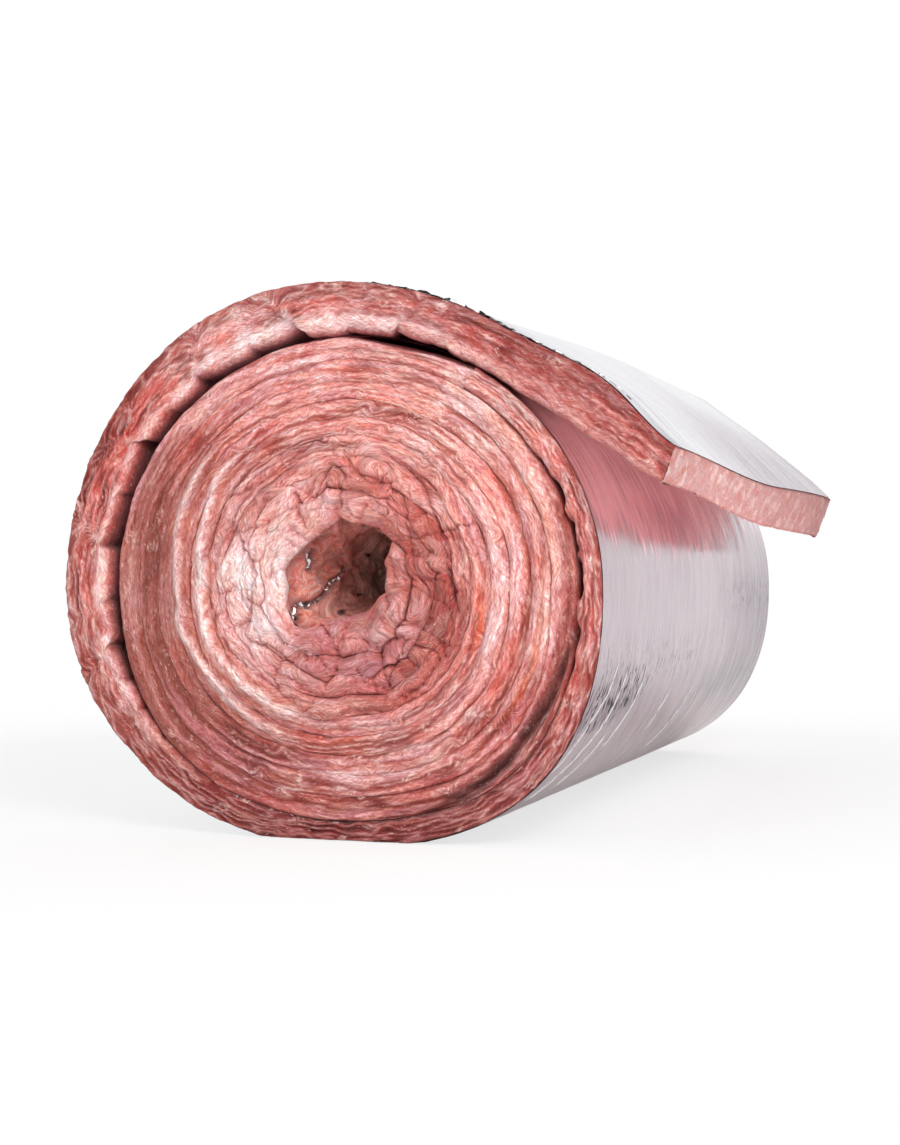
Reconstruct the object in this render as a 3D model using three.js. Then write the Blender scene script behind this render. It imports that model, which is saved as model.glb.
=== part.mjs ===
// A roll of glass-wool blanket with an aluminium foil facing, lying on its side. Its last wrap has
// sprung loose from the packed coil, and the free end, the flap, stands off the roll.
// Millimetres, +Z up. The roll's axis runs along Y, the flap points to +X, and the origin is on the
// floor under the middle of the coil. Seen from the -Y end, the blanket winds outwards clockwise.
// A place along the blanket is counted in wraps from its start at the core.
import * as THREE from "three";

const { clamp, degToRad, lerp, smoothstep } = THREE.MathUtils;

// The blanket
const BLANKET_WIDTH = 1200; // along Y
const FREE_LOFT = 51; // thickness where the last wrap is loose
const TOP_SWELL = 7; // extra thickness of the loose wrap over the top of the roll
const FOIL_THICKNESS = 0.5;
const FOIL_CLEARANCE = 0.3; // between the foil and the wool that it covers
const SEAM_DEPTH = 14; // of the groove between two packed wraps, on both ends of the roll
const RIM_DEPTH = 6; // by which a free edge of the wool is rounded back
const CROWN_POWER = 4; // how flat the wool is between its two edges, on an end of the roll

// The packed coil
const CORE_RADIUS = 57;
const PACKED_WRAPS = 10;
const TIGHT_PITCH = 21; // spacing of the wraps half way out
const SLACK_PITCH = 30; // spacing of the wraps at the core and at the outside
const SQUASH = 0.962; // height of the coil over its width
const FLAP_HIP = 0.075; // share by which the coil bulges at its lower quarter on the flap's side
const BACK_HIP = 0.035; // the same on the other side
const CORE_OFFSET_X = -12; // centre of the bore from the centre of the coil
const CORE_OFFSET_Z = 7;
const FLOOR_PRESS = 7; // by which the floor flattens the round underside

// The slit under the loose wrap, by its angle above the +X side
const SLIT_WIDTH = 13;
const SLIT_TIP_ANGLE = 225;
const SLIT_TAPER = 36; // degrees over which the slit opens from its tip
const REST_GAP = 3; // where the loose wrap comes down on the coil before it leaves as the flap
const REST_START_ANGLE = 137;
const REST_END_ANGLE = 72;
const LOOSENED_ANGLES = [255, 180]; // between which the last wrap swells to its free thickness
const SWELL_ANGLES = [160, 58]; // between which the loose wrap has its extra thickness

// The flap, measured along its inner side
const LIFT_OFF_ANGLE = 58;
const FLAP_LENGTH = 244; // at the -Y edge
const FLAP_SKEW = 26; // by which the flap is longer at the +Y edge
const FLAP_DROOP = 5; // degrees by which the flap bends down
const FLAP_SWELL = 7; // extra thickness at the middle of the flap
const NEAR_END_LOFT = 41; // thickness of the cut end, at the -Y corner
const FAR_END_LOFT = 66; // thickness of the cut end, at the +Y corner
const CUT_LEAN = 14; // degrees by which the cut end leans back from square
const FAR_LIFT = 19; // by which the flap stands higher towards +Y, half way along it
const FAR_TIP_DROP = 24; // by which the cut end hangs lower towards +Y
const LIFT_START_ANGLE = 115; // where the loose wrap starts to stand higher
const LIFT_BACK = 0.6; // share of the width over which it comes to its full lift

// Places along the flap, as shares of its length
const SQUARED_BY = 0.3; // where its sides come square to its run
const LEAN_FROM = 0.5; // where its cut end's lean starts
const END_LOFT_FROM = 0.45; // where its thickness starts to turn into that of the cut end

// Facets
const STEPS_PER_WRAP = 40;
const FLAP_STEPS = 10;
const DEPTH_STEPS = 4; // across the thickness of one wrap
const WIDTH_STEPS = 5; // along Y, on the faces that show from outside
const FOIL_SET_BACK = 2; // stations from the slit's tip to where the foil starts

const LAST_WRAP = PACKED_WRAPS - 1;
const LAST_WRAP_BLEND = 0.1; // wraps over which the last one takes its own thickness
const UNDERSIDE_ANGLE = 270;
const wrapAt = (degrees) => LAST_WRAP + 1 - degrees / 360; // in the last wrap, from its angle
const SLIT_TIP = wrapAt(SLIT_TIP_ANGLE);
const LIFT_OFF = wrapAt(LIFT_OFF_ANGLE);

// Radius of the spiral between two wraps. Its pitch is least half way out.
function spiralRadius(wrap) {
  const outward = (2 * wrap) / PACKED_WRAPS - 1;
  const slack = ((SLACK_PITCH - TIGHT_PITCH) * PACKED_WRAPS) / 6;
  return CORE_RADIUS + TIGHT_PITCH * wrap + slack * (outward ** 3 + 1);
}

const angleOf = (wrap) => -2 * Math.PI * (wrap - PACKED_WRAPS);
const outwardOf = (wrap) => new THREE.Vector2(Math.cos(angleOf(wrap)), Math.sin(angleOf(wrap)));

// Thickness of the last wrap: packed where it starts, and free from where it has loosened.
function lastWrapLoft(wrap) {
  const packed = spiralRadius(wrap + 1) - spiralRadius(wrap);
  const loosened = smoothstep(wrap, ...LOOSENED_ANGLES.map(wrapAt));
  const [swellStart, swellEnd] = SWELL_ANGLES.map(wrapAt);
  const swell = Math.sin(Math.PI * clamp((wrap - swellStart) / (swellEnd - swellStart), 0, 1)) ** 2;
  return lerp(packed, FREE_LOFT, loosened) + TOP_SWELL * swell;
}

// The underside of the last wrap, before the floor presses it flat, is FLOOR_PRESS below the floor.
const UNDERSIDE = wrapAt(UNDERSIDE_ANGLE);
const COIL_HEIGHT = SQUASH * spiralRadius(UNDERSIDE) + lastWrapLoft(UNDERSIDE) - FLOOR_PRESS;

// The spiral surface that parts a wrap from the one inside it, at the wrap's inner side.
function seam(wrap) {
  const out = outwardOf(wrap);
  const share = wrap / PACKED_WRAPS;
  const hip = (out.x > 0 ? FLAP_HIP : BACK_HIP) * (2 * out.x * Math.min(0, out.y)) ** 2;
  const radius = spiralRadius(wrap) * (1 + share * hip);
  return new THREE.Vector2(
    CORE_OFFSET_X * (1 - share) + radius * out.x,
    COIL_HEIGHT + CORE_OFFSET_Z * (1 - share) + SQUASH * radius * out.y,
  );
}

function slitAt(wrap) {
  const opened = smoothstep(wrap, SLIT_TIP, wrapAt(SLIT_TIP_ANGLE - SLIT_TAPER));
  const rested = smoothstep(wrap, wrapAt(REST_START_ANGLE), wrapAt(REST_END_ANGLE));
  return opened * lerp(SLIT_WIDTH, REST_GAP, rested);
}

// Inner and outer side of the wound blanket, in the XZ plane.
function woundSides(wrap) {
  const out = outwardOf(wrap);
  const inner = seam(wrap).addScaledVector(out, slitAt(wrap));
  const last = inner.clone().addScaledVector(out, lastWrapLoft(wrap));
  const share = smoothstep(wrap, LAST_WRAP, LAST_WRAP + LAST_WRAP_BLEND);
  return { inner, outer: seam(wrap + 1).lerp(last, share) };
}

// Sides of the flap at a share of its length. Its inner side leaves the coil along the tangent.
const ORIGIN = new THREE.Vector2();
const LEAVING = woundSides(LIFT_OFF);
const TANGENT_STEP = 0.001; // wraps, to each side of the place where a tangent is taken
const LEAVING_HEADING = seam(LIFT_OFF + TANGENT_STEP).sub(seam(LIFT_OFF - TANGENT_STEP)).angle();
function flapSides(share, across) {
  const bend = degToRad(FLAP_DROOP) * share;
  const heading = LEAVING_HEADING - bend;
  const length = (FLAP_LENGTH + FLAP_SKEW * across) * share;
  const chord = new THREE.Vector2(length, 0).rotateAround(ORIGIN, LEAVING_HEADING - bend / 2);
  const inner = LEAVING.inner.clone().add(chord);
  const leaving = LEAVING.outer.clone().sub(LEAVING.inner);
  const lean = degToRad(CUT_LEAN) * smoothstep(share, LEAN_FROM, 1);
  const square = new THREE.Vector2(0, 1).rotateAround(ORIGIN, heading + lean);
  const up = leaving.clone().normalize().lerp(square, smoothstep(share, 0, SQUARED_BY)).normalize();
  const endLoft = lerp(NEAR_END_LOFT, FAR_END_LOFT, smoothstep(across, 0, 1));
  const loft =
    lerp(leaving.length(), endLoft, smoothstep(share, END_LOFT_FROM, 1)) +
    FLAP_SWELL * Math.sin(Math.PI * share) ** 2;
  return { inner, outer: inner.clone().addScaledVector(up, loft) };
}

// How far the loose wrap stands off further towards +Y: nothing where it is wound, most along the
// flap, and less than nothing at the cut end.
function lift(wrap, flapShare, across) {
  const rising = FAR_LIFT * smoothstep(wrap, wrapAt(LIFT_START_ANGLE), LIFT_OFF);
  return lerp(rising, -FAR_TIP_DROP, flapShare) * smoothstep(across, 0, LIFT_BACK);
}

// The stations along the blanket. The wound ones are counted back from the tip of the slit, so that
// one wrap further in there is always a station at the same angle.
const TIP = Math.round(SLIT_TIP * STEPS_PER_WRAP);
const START_WRAP = SLIT_TIP - TIP / STEPS_PER_WRAP;
const LOOSE_STEPS = Math.round((LIFT_OFF - SLIT_TIP) * STEPS_PER_WRAP);
const LEAVE = TIP + LOOSE_STEPS;
const END = LEAVE + FLAP_STEPS;

function wrapOf(station) {
  if (station <= TIP) return START_WRAP + station / STEPS_PER_WRAP;
  return lerp(SLIT_TIP, LIFT_OFF, Math.min(1, (station - TIP) / LOOSE_STEPS));
}

// A point of the blanket: across runs from the -Y end to the +Y end, depth from its inner side to its
// outer side, and beyond is a distance outwards from there.
function blanketPoint(station, depth, across, beyond = 0) {
  const wrap = wrapOf(station);
  const flapShare = Math.max(0, station - LEAVE) / FLAP_STEPS;
  const { inner, outer } = flapShare ? flapSides(flapShare, across) : woundSides(wrap);
  const up = outer.clone().sub(inner).normalize();
  const point = inner.lerp(outer, depth).addScaledVector(up, beyond + lift(wrap, flapShare, across));
  const floor = FOIL_THICKNESS + FOIL_CLEARANCE - beyond;
  return new THREE.Vector2(point.x, Math.max(point.y, floor));
}

// How far the wool's two ends lie back from the blanket's full width.
function endDepth(station, depth) {
  const crown = (2 * depth - 1) ** CROWN_POWER;
  const free = depth > 0.5 ? station + STEPS_PER_WRAP > TIP : station > TIP;
  return crown * (free ? RIM_DEPTH : SEAM_DEPTH);
}

// Collects numbered vertices and quads into a geometry.
class QuadMesh {
  positions = [];
  triangles = [];
  numbers = new Map();

  vertex(key, place) {
    if (!this.numbers.has(key)) {
      this.numbers.set(key, this.numbers.size);
      this.positions.push(...place());
    }
    return this.numbers.get(key);
  }

  // The corners run anticlockwise as seen from outside.
  quad(a, b, c, d) {
    this.triangles.push(a, b, c, a, c, d);
  }

  geometry() {
    const made = new THREE.BufferGeometry();
    made.setAttribute("position", new THREE.Float32BufferAttribute(this.positions, 3));
    made.setIndex(this.triangles);
    made.computeVertexNormals();
    return made;
  }
}

// Wool: a sheet of cells along the spiral makes each end of the roll, and bands along Y join the two
// ends at the bore, the outside, the slit and the flap. A packed wrap shares its outer side with the
// inner side of the next.
function woolGeometry() {
  const mesh = new QuadMesh();
  const at = (station, layer, row) => {
    if (layer === DEPTH_STEPS && station + STEPS_PER_WRAP <= TIP) {
      return at(station + STEPS_PER_WRAP, 0, row);
    }
    return mesh.vertex(`${station} ${layer} ${row}`, () => {
      const across = row / WIDTH_STEPS;
      const depth = layer / DEPTH_STEPS;
      const { x, y: z } = blanketPoint(station, depth, across);
      return [x, (across - 0.5) * (BLANKET_WIDTH - 2 * endDepth(station, depth)), z];
    });
  };
  for (let s = 0; s < END; s++) {
    for (let d = 0; d < DEPTH_STEPS; d++) {
      mesh.quad(at(s, d, 0), at(s + 1, d, 0), at(s + 1, d + 1, 0), at(s, d + 1, 0));
      const far = WIDTH_STEPS;
      mesh.quad(at(s, d, far), at(s, d + 1, far), at(s + 1, d + 1, far), at(s + 1, d, far));
    }
  }
  for (let r = 0; r < WIDTH_STEPS; r++) {
    const innerBand = (s) => mesh.quad(at(s, 0, r), at(s, 0, r + 1), at(s + 1, 0, r + 1), at(s + 1, 0, r));
    for (let s = 0; s < STEPS_PER_WRAP; s++) innerBand(s);
    for (let s = TIP; s < END; s++) innerBand(s);
    const top = DEPTH_STEPS;
    for (let s = TIP - STEPS_PER_WRAP; s < END; s++) {
      mesh.quad(at(s, top, r), at(s + 1, top, r), at(s + 1, top, r + 1), at(s, top, r + 1));
    }
    for (let d = 0; d < DEPTH_STEPS; d++) {
      mesh.quad(at(0, d, r), at(0, d + 1, r), at(0, d + 1, r + 1), at(0, d, r + 1));
      mesh.quad(at(END, d, r), at(END, d, r + 1), at(END, d + 1, r + 1), at(END, d + 1, r));
    }
  }
  return mesh.geometry();
}

// Foil: a thin skin on the outer side, from the flap's end to where the slit under the loose wrap is
// wide enough for it.
const FOIL_START = TIP - STEPS_PER_WRAP + FOIL_SET_BACK;
function foilGeometry() {
  const mesh = new QuadMesh();
  const width = BLANKET_WIDTH - 2 * RIM_DEPTH;
  const at = (station, side, row) =>
    mesh.vertex(`${station} ${side} ${row}`, () => {
      const across = row / WIDTH_STEPS;
      const beyond = FOIL_CLEARANCE + side * FOIL_THICKNESS;
      const { x, y: z } = blanketPoint(station, 1, across, beyond);
      return [x, (across - 0.5) * width, z];
    });
  for (let s = FOIL_START; s < END; s++) {
    for (let r = 0; r < WIDTH_STEPS; r++) {
      mesh.quad(at(s, 1, r), at(s + 1, 1, r), at(s + 1, 1, r + 1), at(s, 1, r + 1));
      mesh.quad(at(s, 0, r), at(s, 0, r + 1), at(s + 1, 0, r + 1), at(s + 1, 0, r));
    }
    const far = WIDTH_STEPS;
    mesh.quad(at(s, 0, 0), at(s + 1, 0, 0), at(s + 1, 1, 0), at(s, 1, 0));
    mesh.quad(at(s, 0, far), at(s, 1, far), at(s + 1, 1, far), at(s + 1, 0, far));
  }
  for (let r = 0; r < WIDTH_STEPS; r++) {
    const first = FOIL_START;
    mesh.quad(at(first, 0, r), at(first, 1, r), at(first, 1, r + 1), at(first, 0, r + 1));
    mesh.quad(at(END, 0, r), at(END, 0, r + 1), at(END, 1, r + 1), at(END, 1, r));
  }
  return mesh.geometry();
}

const glassWool = new THREE.MeshStandardMaterial({ color: "#d08b86", roughness: 1, metalness: 0 });
const foil = new THREE.MeshStandardMaterial({ color: "#d4d2d6", roughness: 0.3, metalness: 1 });

const insulationRoll = new THREE.Group();
const pieces = [
  ["wool_blanket", woolGeometry(), glassWool],
  ["foil_facing", foilGeometry(), foil],
];
for (const [name, geometry, material] of pieces) {
  const mesh = new THREE.Mesh(geometry, material);
  mesh.name = name;
  insulationRoll.add(mesh);
}

export default insulationRoll;
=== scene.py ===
import math
from functools import partial

import bpy
import numpy as np
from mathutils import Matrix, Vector


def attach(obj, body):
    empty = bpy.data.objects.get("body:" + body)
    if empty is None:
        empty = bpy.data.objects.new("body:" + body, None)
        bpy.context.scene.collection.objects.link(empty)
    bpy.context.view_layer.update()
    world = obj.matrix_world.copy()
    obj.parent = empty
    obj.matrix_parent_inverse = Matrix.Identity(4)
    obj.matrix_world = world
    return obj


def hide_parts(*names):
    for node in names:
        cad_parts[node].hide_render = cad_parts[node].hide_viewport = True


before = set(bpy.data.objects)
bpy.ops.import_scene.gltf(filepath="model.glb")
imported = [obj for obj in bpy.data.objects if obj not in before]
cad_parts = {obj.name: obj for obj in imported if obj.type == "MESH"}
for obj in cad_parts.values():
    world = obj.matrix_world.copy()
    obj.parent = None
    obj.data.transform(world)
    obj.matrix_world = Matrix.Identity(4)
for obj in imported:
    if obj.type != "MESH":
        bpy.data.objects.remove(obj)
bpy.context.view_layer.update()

# Lengths are in millimetres up to Piece.make, which turns them into the frame's metres.
# A place along the blanket is counted in wraps from its start at the core, as in the CAD part.

# ---------------------------------------------------------------- the blanket, as the CAD has it
BLANKET_WIDTH = 1200.0
HALF = BLANKET_WIDTH / 2
FREE_LOFT, TOP_SWELL = 51.0, 7.0
CORE_RADIUS, PACKED_WRAPS, TIGHT_PITCH, SLACK_PITCH = 57.0, 10, 21.0, 30.0
SQUASH, FLAP_HIP, BACK_HIP = 0.962, 0.075, 0.035
CORE_OFFSET_X, CORE_OFFSET_Z, FLOOR_PRESS = -12.0, 7.0, 7.0
SLIT_WIDTH, SLIT_TIP_ANGLE, SLIT_TAPER = 13.0, 225, 36
REST_GAP, REST_START_ANGLE, REST_END_ANGLE = 3.0, 137, 72
LOOSENED_ANGLES, SWELL_ANGLES = (255, 180), (160, 58)
LIFT_OFF_ANGLE, FLAP_LENGTH, FLAP_SKEW, FLAP_DROOP, FLAP_SWELL = 58, 244.0, 26.0, 5.0, 7.0
NEAR_END_LOFT, FAR_END_LOFT, CUT_LEAN = 41.0, 66.0, 14.0
FAR_LIFT, FAR_TIP_DROP, LIFT_START_ANGLE, LIFT_BACK = 19.0, 24.0, 115, 0.6
LAST_WRAP = PACKED_WRAPS - 1
COIL_FOIL_START = 8.425  # wrap at which the foil that shows starts
CORE_END = 4.0  # wrap up to which the ends' wool is drawn in finer steps
WOOL_FLOOR = 0.8  # how high the wool stays above the floor
INNER_END = -0.13  # wrap at which the blanket starts, thinned to nothing


def smooth(x, low, high):
    t = np.clip((x - low) / (high - low), 0, 1)
    return t * t * (3 - 2 * t)


def between(x, low, full, fading, high):
    """1 from full to fading, and 0 below low and above high."""
    return smooth(x, low, full) * (1 - smooth(x, fading, high))


def lerp(a, b, t):
    return a + (b - a) * t


def bell(x, width):
    return np.exp(-((x / width) ** 2))


def largest(*values):
    return np.maximum.reduce(np.broadcast_arrays(*values))


def running(steps):
    """The sum of the steps up to each place, from 0."""
    return np.concatenate([[0], np.cumsum(steps)])


def signed(degrees):
    """The same angle between -180 and 180."""
    return (degrees + 180) % 360 - 180


def standing(plane, y):
    """Points in space from places in the XZ plane and their y."""
    return np.stack([plane[..., 0], y, plane[..., 1]], -1)


def wrap_at(degrees):
    return LAST_WRAP + 1 - degrees / 360


SLIT_TIP, LIFT_OFF = wrap_at(SLIT_TIP_ANGLE), wrap_at(LIFT_OFF_ANGLE)
SLIT_MOUTH, COIL_END = wrap_at(REST_END_ANGLE), LIFT_OFF - 1


def angle_of(w):
    return (-360 * (w - PACKED_WRAPS)) % 360


def spiral_radius(w):
    slack = (SLACK_PITCH - TIGHT_PITCH) * PACKED_WRAPS / 6
    return CORE_RADIUS + TIGHT_PITCH * w + slack * ((2 * w / PACKED_WRAPS - 1) ** 3 + 1)


def outward(w):
    a = -2 * np.pi * (w - PACKED_WRAPS)
    return np.stack([np.cos(a), np.sin(a)], -1)


def last_wrap_loft(w):
    packed = spiral_radius(w + 1) - spiral_radius(w)
    loosened = smooth(w, *map(wrap_at, LOOSENED_ANGLES))
    start, end = map(wrap_at, SWELL_ANGLES)
    swell = np.sin(np.pi * np.clip((w - start) / (end - start), 0, 1)) ** 2
    return lerp(packed, FREE_LOFT, loosened) + TOP_SWELL * swell


COIL_HEIGHT = SQUASH * spiral_radius(wrap_at(270)) + last_wrap_loft(wrap_at(270)) - FLOOR_PRESS


def seam(w):
    out = outward(w)
    share = w / PACKED_WRAPS
    hip = np.where(out[..., 0] > 0, FLAP_HIP, BACK_HIP) * (2 * out[..., 0] * np.minimum(0, out[..., 1])) ** 2
    radius = spiral_radius(w) * (1 + share * hip)
    return np.stack(
        [
            CORE_OFFSET_X * (1 - share) + radius * out[..., 0],
            COIL_HEIGHT + CORE_OFFSET_Z * (1 - share) + SQUASH * radius * out[..., 1],
        ],
        -1,
    )


def wound_sides(w):
    out = outward(w)
    opened = smooth(w, SLIT_TIP, wrap_at(SLIT_TIP_ANGLE - SLIT_TAPER))
    slit = opened * lerp(SLIT_WIDTH, REST_GAP, smooth(w, wrap_at(REST_START_ANGLE), wrap_at(REST_END_ANGLE)))
    inner = seam(w) + out * slit[..., None]
    last = inner + out * last_wrap_loft(w)[..., None]
    return inner, lerp(seam(w + 1), last, smooth(w, LAST_WRAP, LAST_WRAP + 0.1)[..., None])


def turned(v, angle):
    c, s = np.cos(angle), np.sin(angle)
    return np.stack([c * v[..., 0] - s * v[..., 1], s * v[..., 0] + c * v[..., 1]], -1)


def unit(v):
    return v / np.maximum(np.linalg.norm(v, axis=-1, keepdims=True), 1e-9)


LEAVING_INNER, LEAVING_OUTER = (p[0] for p in wound_sides(np.array([LIFT_OFF])))
_heading = (seam(np.array([LIFT_OFF + 0.001])) - seam(np.array([LIFT_OFF - 0.001])))[0]
LEAVING_HEADING = math.atan2(_heading[1], _heading[0])


def flap_sides(share, across):
    bend = math.radians(FLAP_DROOP) * share
    length = (FLAP_LENGTH + FLAP_SKEW * across) * share
    heading = LEAVING_HEADING - bend / 2
    inner = LEAVING_INNER + np.stack([length * np.cos(heading), length * np.sin(heading)], -1)
    leaving = LEAVING_OUTER - LEAVING_INNER
    lean = math.radians(CUT_LEAN) * smooth(share, 0.5, 1)
    square = turned(np.stack([0 * share, 0 * share + 1], -1), LEAVING_HEADING - bend + lean)
    up = unit(lerp(unit(leaving), square, smooth(share, 0, 0.3)[..., None]))
    tip_loft = lerp(NEAR_END_LOFT, FAR_END_LOFT, smooth(across, 0, 1))
    loft = lerp(np.linalg.norm(leaving), tip_loft, smooth(share, 0.45, 1))
    loft = loft + FLAP_SWELL * np.sin(np.pi * share) ** 2
    return inner, inner + up * loft[..., None]


def section(w, share, across):
    """Inner and outer side of the blanket and the direction between them; share is the share of the flap."""
    w, share, across = np.broadcast_arrays(*(np.asarray(a, float) for a in (w, share, across)))
    inner, outer = wound_sides(w)
    flap_inner, flap_outer = flap_sides(share, across)
    on_flap = (share > 0)[..., None]
    inner, outer = np.where(on_flap, flap_inner, inner), np.where(on_flap, flap_outer, outer)
    up = unit(outer - inner)
    full = 0.04 + 0.96 * smooth(w, INNER_END, INNER_END + 0.09)
    inner = lerp(outer, inner, full[..., None])
    rising = FAR_LIFT * smooth(w, wrap_at(LIFT_START_ANGLE), LIFT_OFF)
    rise = lerp(rising, -FAR_TIP_DROP, share) * smooth(across, 0, LIFT_BACK)
    shift = up * rise[..., None]
    return inner + shift, outer + shift, up


# The length along the blanket, counted half way through it
WOUND_STEPS, FLAP_STEPS = 24001, 400
WRAPS = np.concatenate([np.linspace(INNER_END, LIFT_OFF, WOUND_STEPS), np.full(FLAP_STEPS, LIFT_OFF)])
SHARES = np.concatenate([np.zeros(WOUND_STEPS), np.linspace(0, 1, FLAP_STEPS + 1)[1:]])
_inner, _outer, _ = section(WRAPS, SHARES, 0.0)
ALONG = running(np.linalg.norm(np.diff((_inner + _outer) / 2, axis=0), axis=1))
TOTAL = ALONG[-1]


def wrap_share(s):
    """Wrap and share of the flap at a length along the blanket."""
    return np.interp(s, ALONG, WRAPS), np.interp(s, ALONG, SHARES)


def length_at(w):
    return np.interp(w, WRAPS[:WOUND_STEPS], ALONG[:WOUND_STEPS])


def lay(s, across):
    """Length, place across, wrap and share of the flap at each point of a grid on the blanket."""
    columns = [np.repeat(v[:, None], len(across), 1) for v in (s, *wrap_share(s))]
    return columns[0], np.repeat(across[None], len(s), 0), *columns[1:]


# ---------------------------------------------------------------- noise
def lattice(ix, iy, seed):
    h = (ix.astype(np.int64) * 374761393 + iy.astype(np.int64) * 668265263 + seed * 2147483647) & 0xFFFFFFFF
    h = ((h ^ (h >> 13)) * 1274126177) & 0xFFFFFFFF
    return ((h ^ (h >> 16)) & 0xFFFFFF) / 0xFFFFFF


def noise(x, y, seed=0):
    """Gradient noise, about -1 to 1."""
    x, y = np.broadcast_arrays(np.asarray(x, float), np.asarray(y, float))
    x0, y0 = np.floor(x), np.floor(y)
    fx, fy = x - x0, y - y0
    u, v = fx**3 * (fx * (6 * fx - 15) + 10), fy**3 * (fy * (6 * fy - 15) + 10)
    total = 0
    for dx in (0, 1):
        for dy in (0, 1):
            a = 2 * np.pi * lattice(x0 + dx, y0 + dy, seed)
            g = np.cos(a) * (fx - dx) + np.sin(a) * (fy - dy)
            total = total + g * (u if dx else 1 - u) * (v if dy else 1 - v)
    return total * 1.5


def fbm(x, y, seed=0, octaves=3):
    total, size = 0, 0
    for k in range(octaves):
        total = total + noise(x * 2**k, y * 2**k, seed + 17 * k) / 2**k
        size += 1 / 2**k
    return total / size


def ridges(x, y, seed=0):
    return 1 - 2 * np.abs(noise(x, y, seed))


def patchy(x, y, seed, low, high, octaves=1):
    """0 where the noise is under low, and 1 where it is over high."""
    return smooth(fbm(x, y, seed, octaves), low, high)


# ---------------------------------------------------------------- colours, as display values
def linear(*rgb):
    c = np.array(rgb) / 255
    return np.where(c <= 0.04045, c / 12.92, ((c + 0.055) / 1.055) ** 2.4)


PALE = linear(246, 204, 198)
WHITISH = linear(255, 232, 228)
ROSE = linear(230, 158, 152)
LILAC = linear(238, 188, 192)
SALMON = linear(224, 142, 130)
CORAL = linear(222, 124, 114)
TAN = linear(190, 124, 110)
BROWN = linear(156, 80, 72)
MAUVE = linear(192, 122, 127)
# DEEP, a dark red, is mostly used for painted shade in seams, creases and hollows
DEEP = linear(146, 50, 46)
ORANGE = linear(236, 124, 92)
BLUSH = linear(250, 160, 146)


def washed(base, *washes):
    """Colours laid one after another over a base, each with its weight."""
    for colour, weight in washes:
        base = base + (colour - base) * np.clip(weight, 0, 1)[..., None]
    return base


def tinged(base, factor, share):
    """The base with each of its colours multiplied, in full where the share is 1."""
    return base * lerp(1.0, np.array(factor), share[..., None])


# ---------------------------------------------------------------- meshes
METRES = 0.001  # a millimetre in the frame's metres


def grid_faces(rows, columns):
    """Quads of a grid of rows by columns points, numbered along the columns."""
    i, j = np.meshgrid(np.arange(rows - 1), np.arange(columns - 1), indexing="ij")
    a = i * columns + j
    return np.stack([a, a + columns, a + columns + 1, a + 1], -1).reshape(-1, 4)


class Piece:
    """Collects grids of points into one mesh."""

    def __init__(self):
        self.points, self.faces, self.uvs, self.tints, self.count = [], [], [], [], 0

    def grid(self, points, uv, tint, flip=False):
        faces = grid_faces(*points.shape[:2]) + self.count
        self.points.append(points.reshape(-1, 3))
        self.faces.append(faces[:, ::-1] if flip else faces)
        self.uvs.append(uv.reshape(-1, 2))
        self.tints.append(tint.reshape(-1, 4))
        self.count += len(self.points[-1])

    def make(self, name, material):
        mesh = bpy.data.meshes.new(name)
        faces = np.concatenate(self.faces)
        mesh.from_pydata((np.concatenate(self.points) * METRES).tolist(), [], faces.tolist())
        mesh.polygons.foreach_set("use_smooth", np.ones(len(faces), bool))
        uvs = np.concatenate(self.uvs)[faces.reshape(-1)] * METRES
        mesh.uv_layers.new(name="lay").data.foreach_set("uv", uvs.astype(np.float32).ravel())
        colour_points(mesh, "tint", np.concatenate(self.tints))
        mesh.update()
        mesh.materials.append(material)
        return placed(name, mesh)


def colour_points(mesh, name, colours):
    layer = mesh.color_attributes.new(name, "FLOAT_COLOR", "POINT")
    layer.data.foreach_set("color", colours.astype(np.float32).ravel())


def placed(name, data, place=(0, 0, 0)):
    made = bpy.data.objects.new(name, data)
    made.location = place
    bpy.context.scene.collection.objects.link(made)
    return made


def with_alpha(tint, amount):
    return np.concatenate([tint, np.broadcast_to(amount, tint.shape[:-1])[..., None]], -1)


# ---------------------------------------------------------------- materials
class Graph:
    """Adds nodes to a tree. Their inputs go by name or number, each with a value or another node's output."""

    def __init__(self, owner):
        owner.use_nodes = True
        self.nodes, self.links = owner.node_tree.nodes, owner.node_tree.links

    def put(self, node, inputs):
        for key, value in inputs.items():
            if isinstance(value, bpy.types.NodeSocket):
                self.links.new(value, node.inputs[key])
            else:
                node.inputs[key].default_value = value

    def add(self, kind, inputs=None, out=0, **settings):
        node = self.nodes.new("ShaderNode" + kind)
        for name, value in settings.items():
            setattr(node, name, value)
        self.put(node, inputs or {})
        return node.outputs[out]

    def math(self, kind, *values):
        return self.add("Math", dict(enumerate(values)), operation=kind)

    def ranged(self, value, low, high, a=0.0, b=1.0):
        inputs = {"Value": value, "From Min": low, "From Max": high, "To Min": a, "To Max": b}
        return self.add("MapRange", inputs)

    def mixed(self, factor, a, b, kind="MIX"):
        return self.add("Mix", {0: factor, 6: a, 7: b}, 2, data_type="RGBA", blend_type=kind)

    def noise(self, place, scale, detail, roughness=0.5, distortion=0.0, out="Fac"):
        if scale:
            place = self.add("Mapping", {"Vector": place, "Scale": (*scale, 1.0)})
        look = {"Scale": 1.0, "Detail": detail, "Roughness": roughness, "Distortion": distortion}
        return self.add("TexNoise", {"Vector": place, **look}, out, noise_dimensions="2D")

    def coated(self, shader, colour, height, strength, distance):
        normal = self.add("Bump", {"Strength": strength, "Distance": distance, "Height": height})
        self.put(shader, {"Base Color": colour, "Normal": normal})


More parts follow.
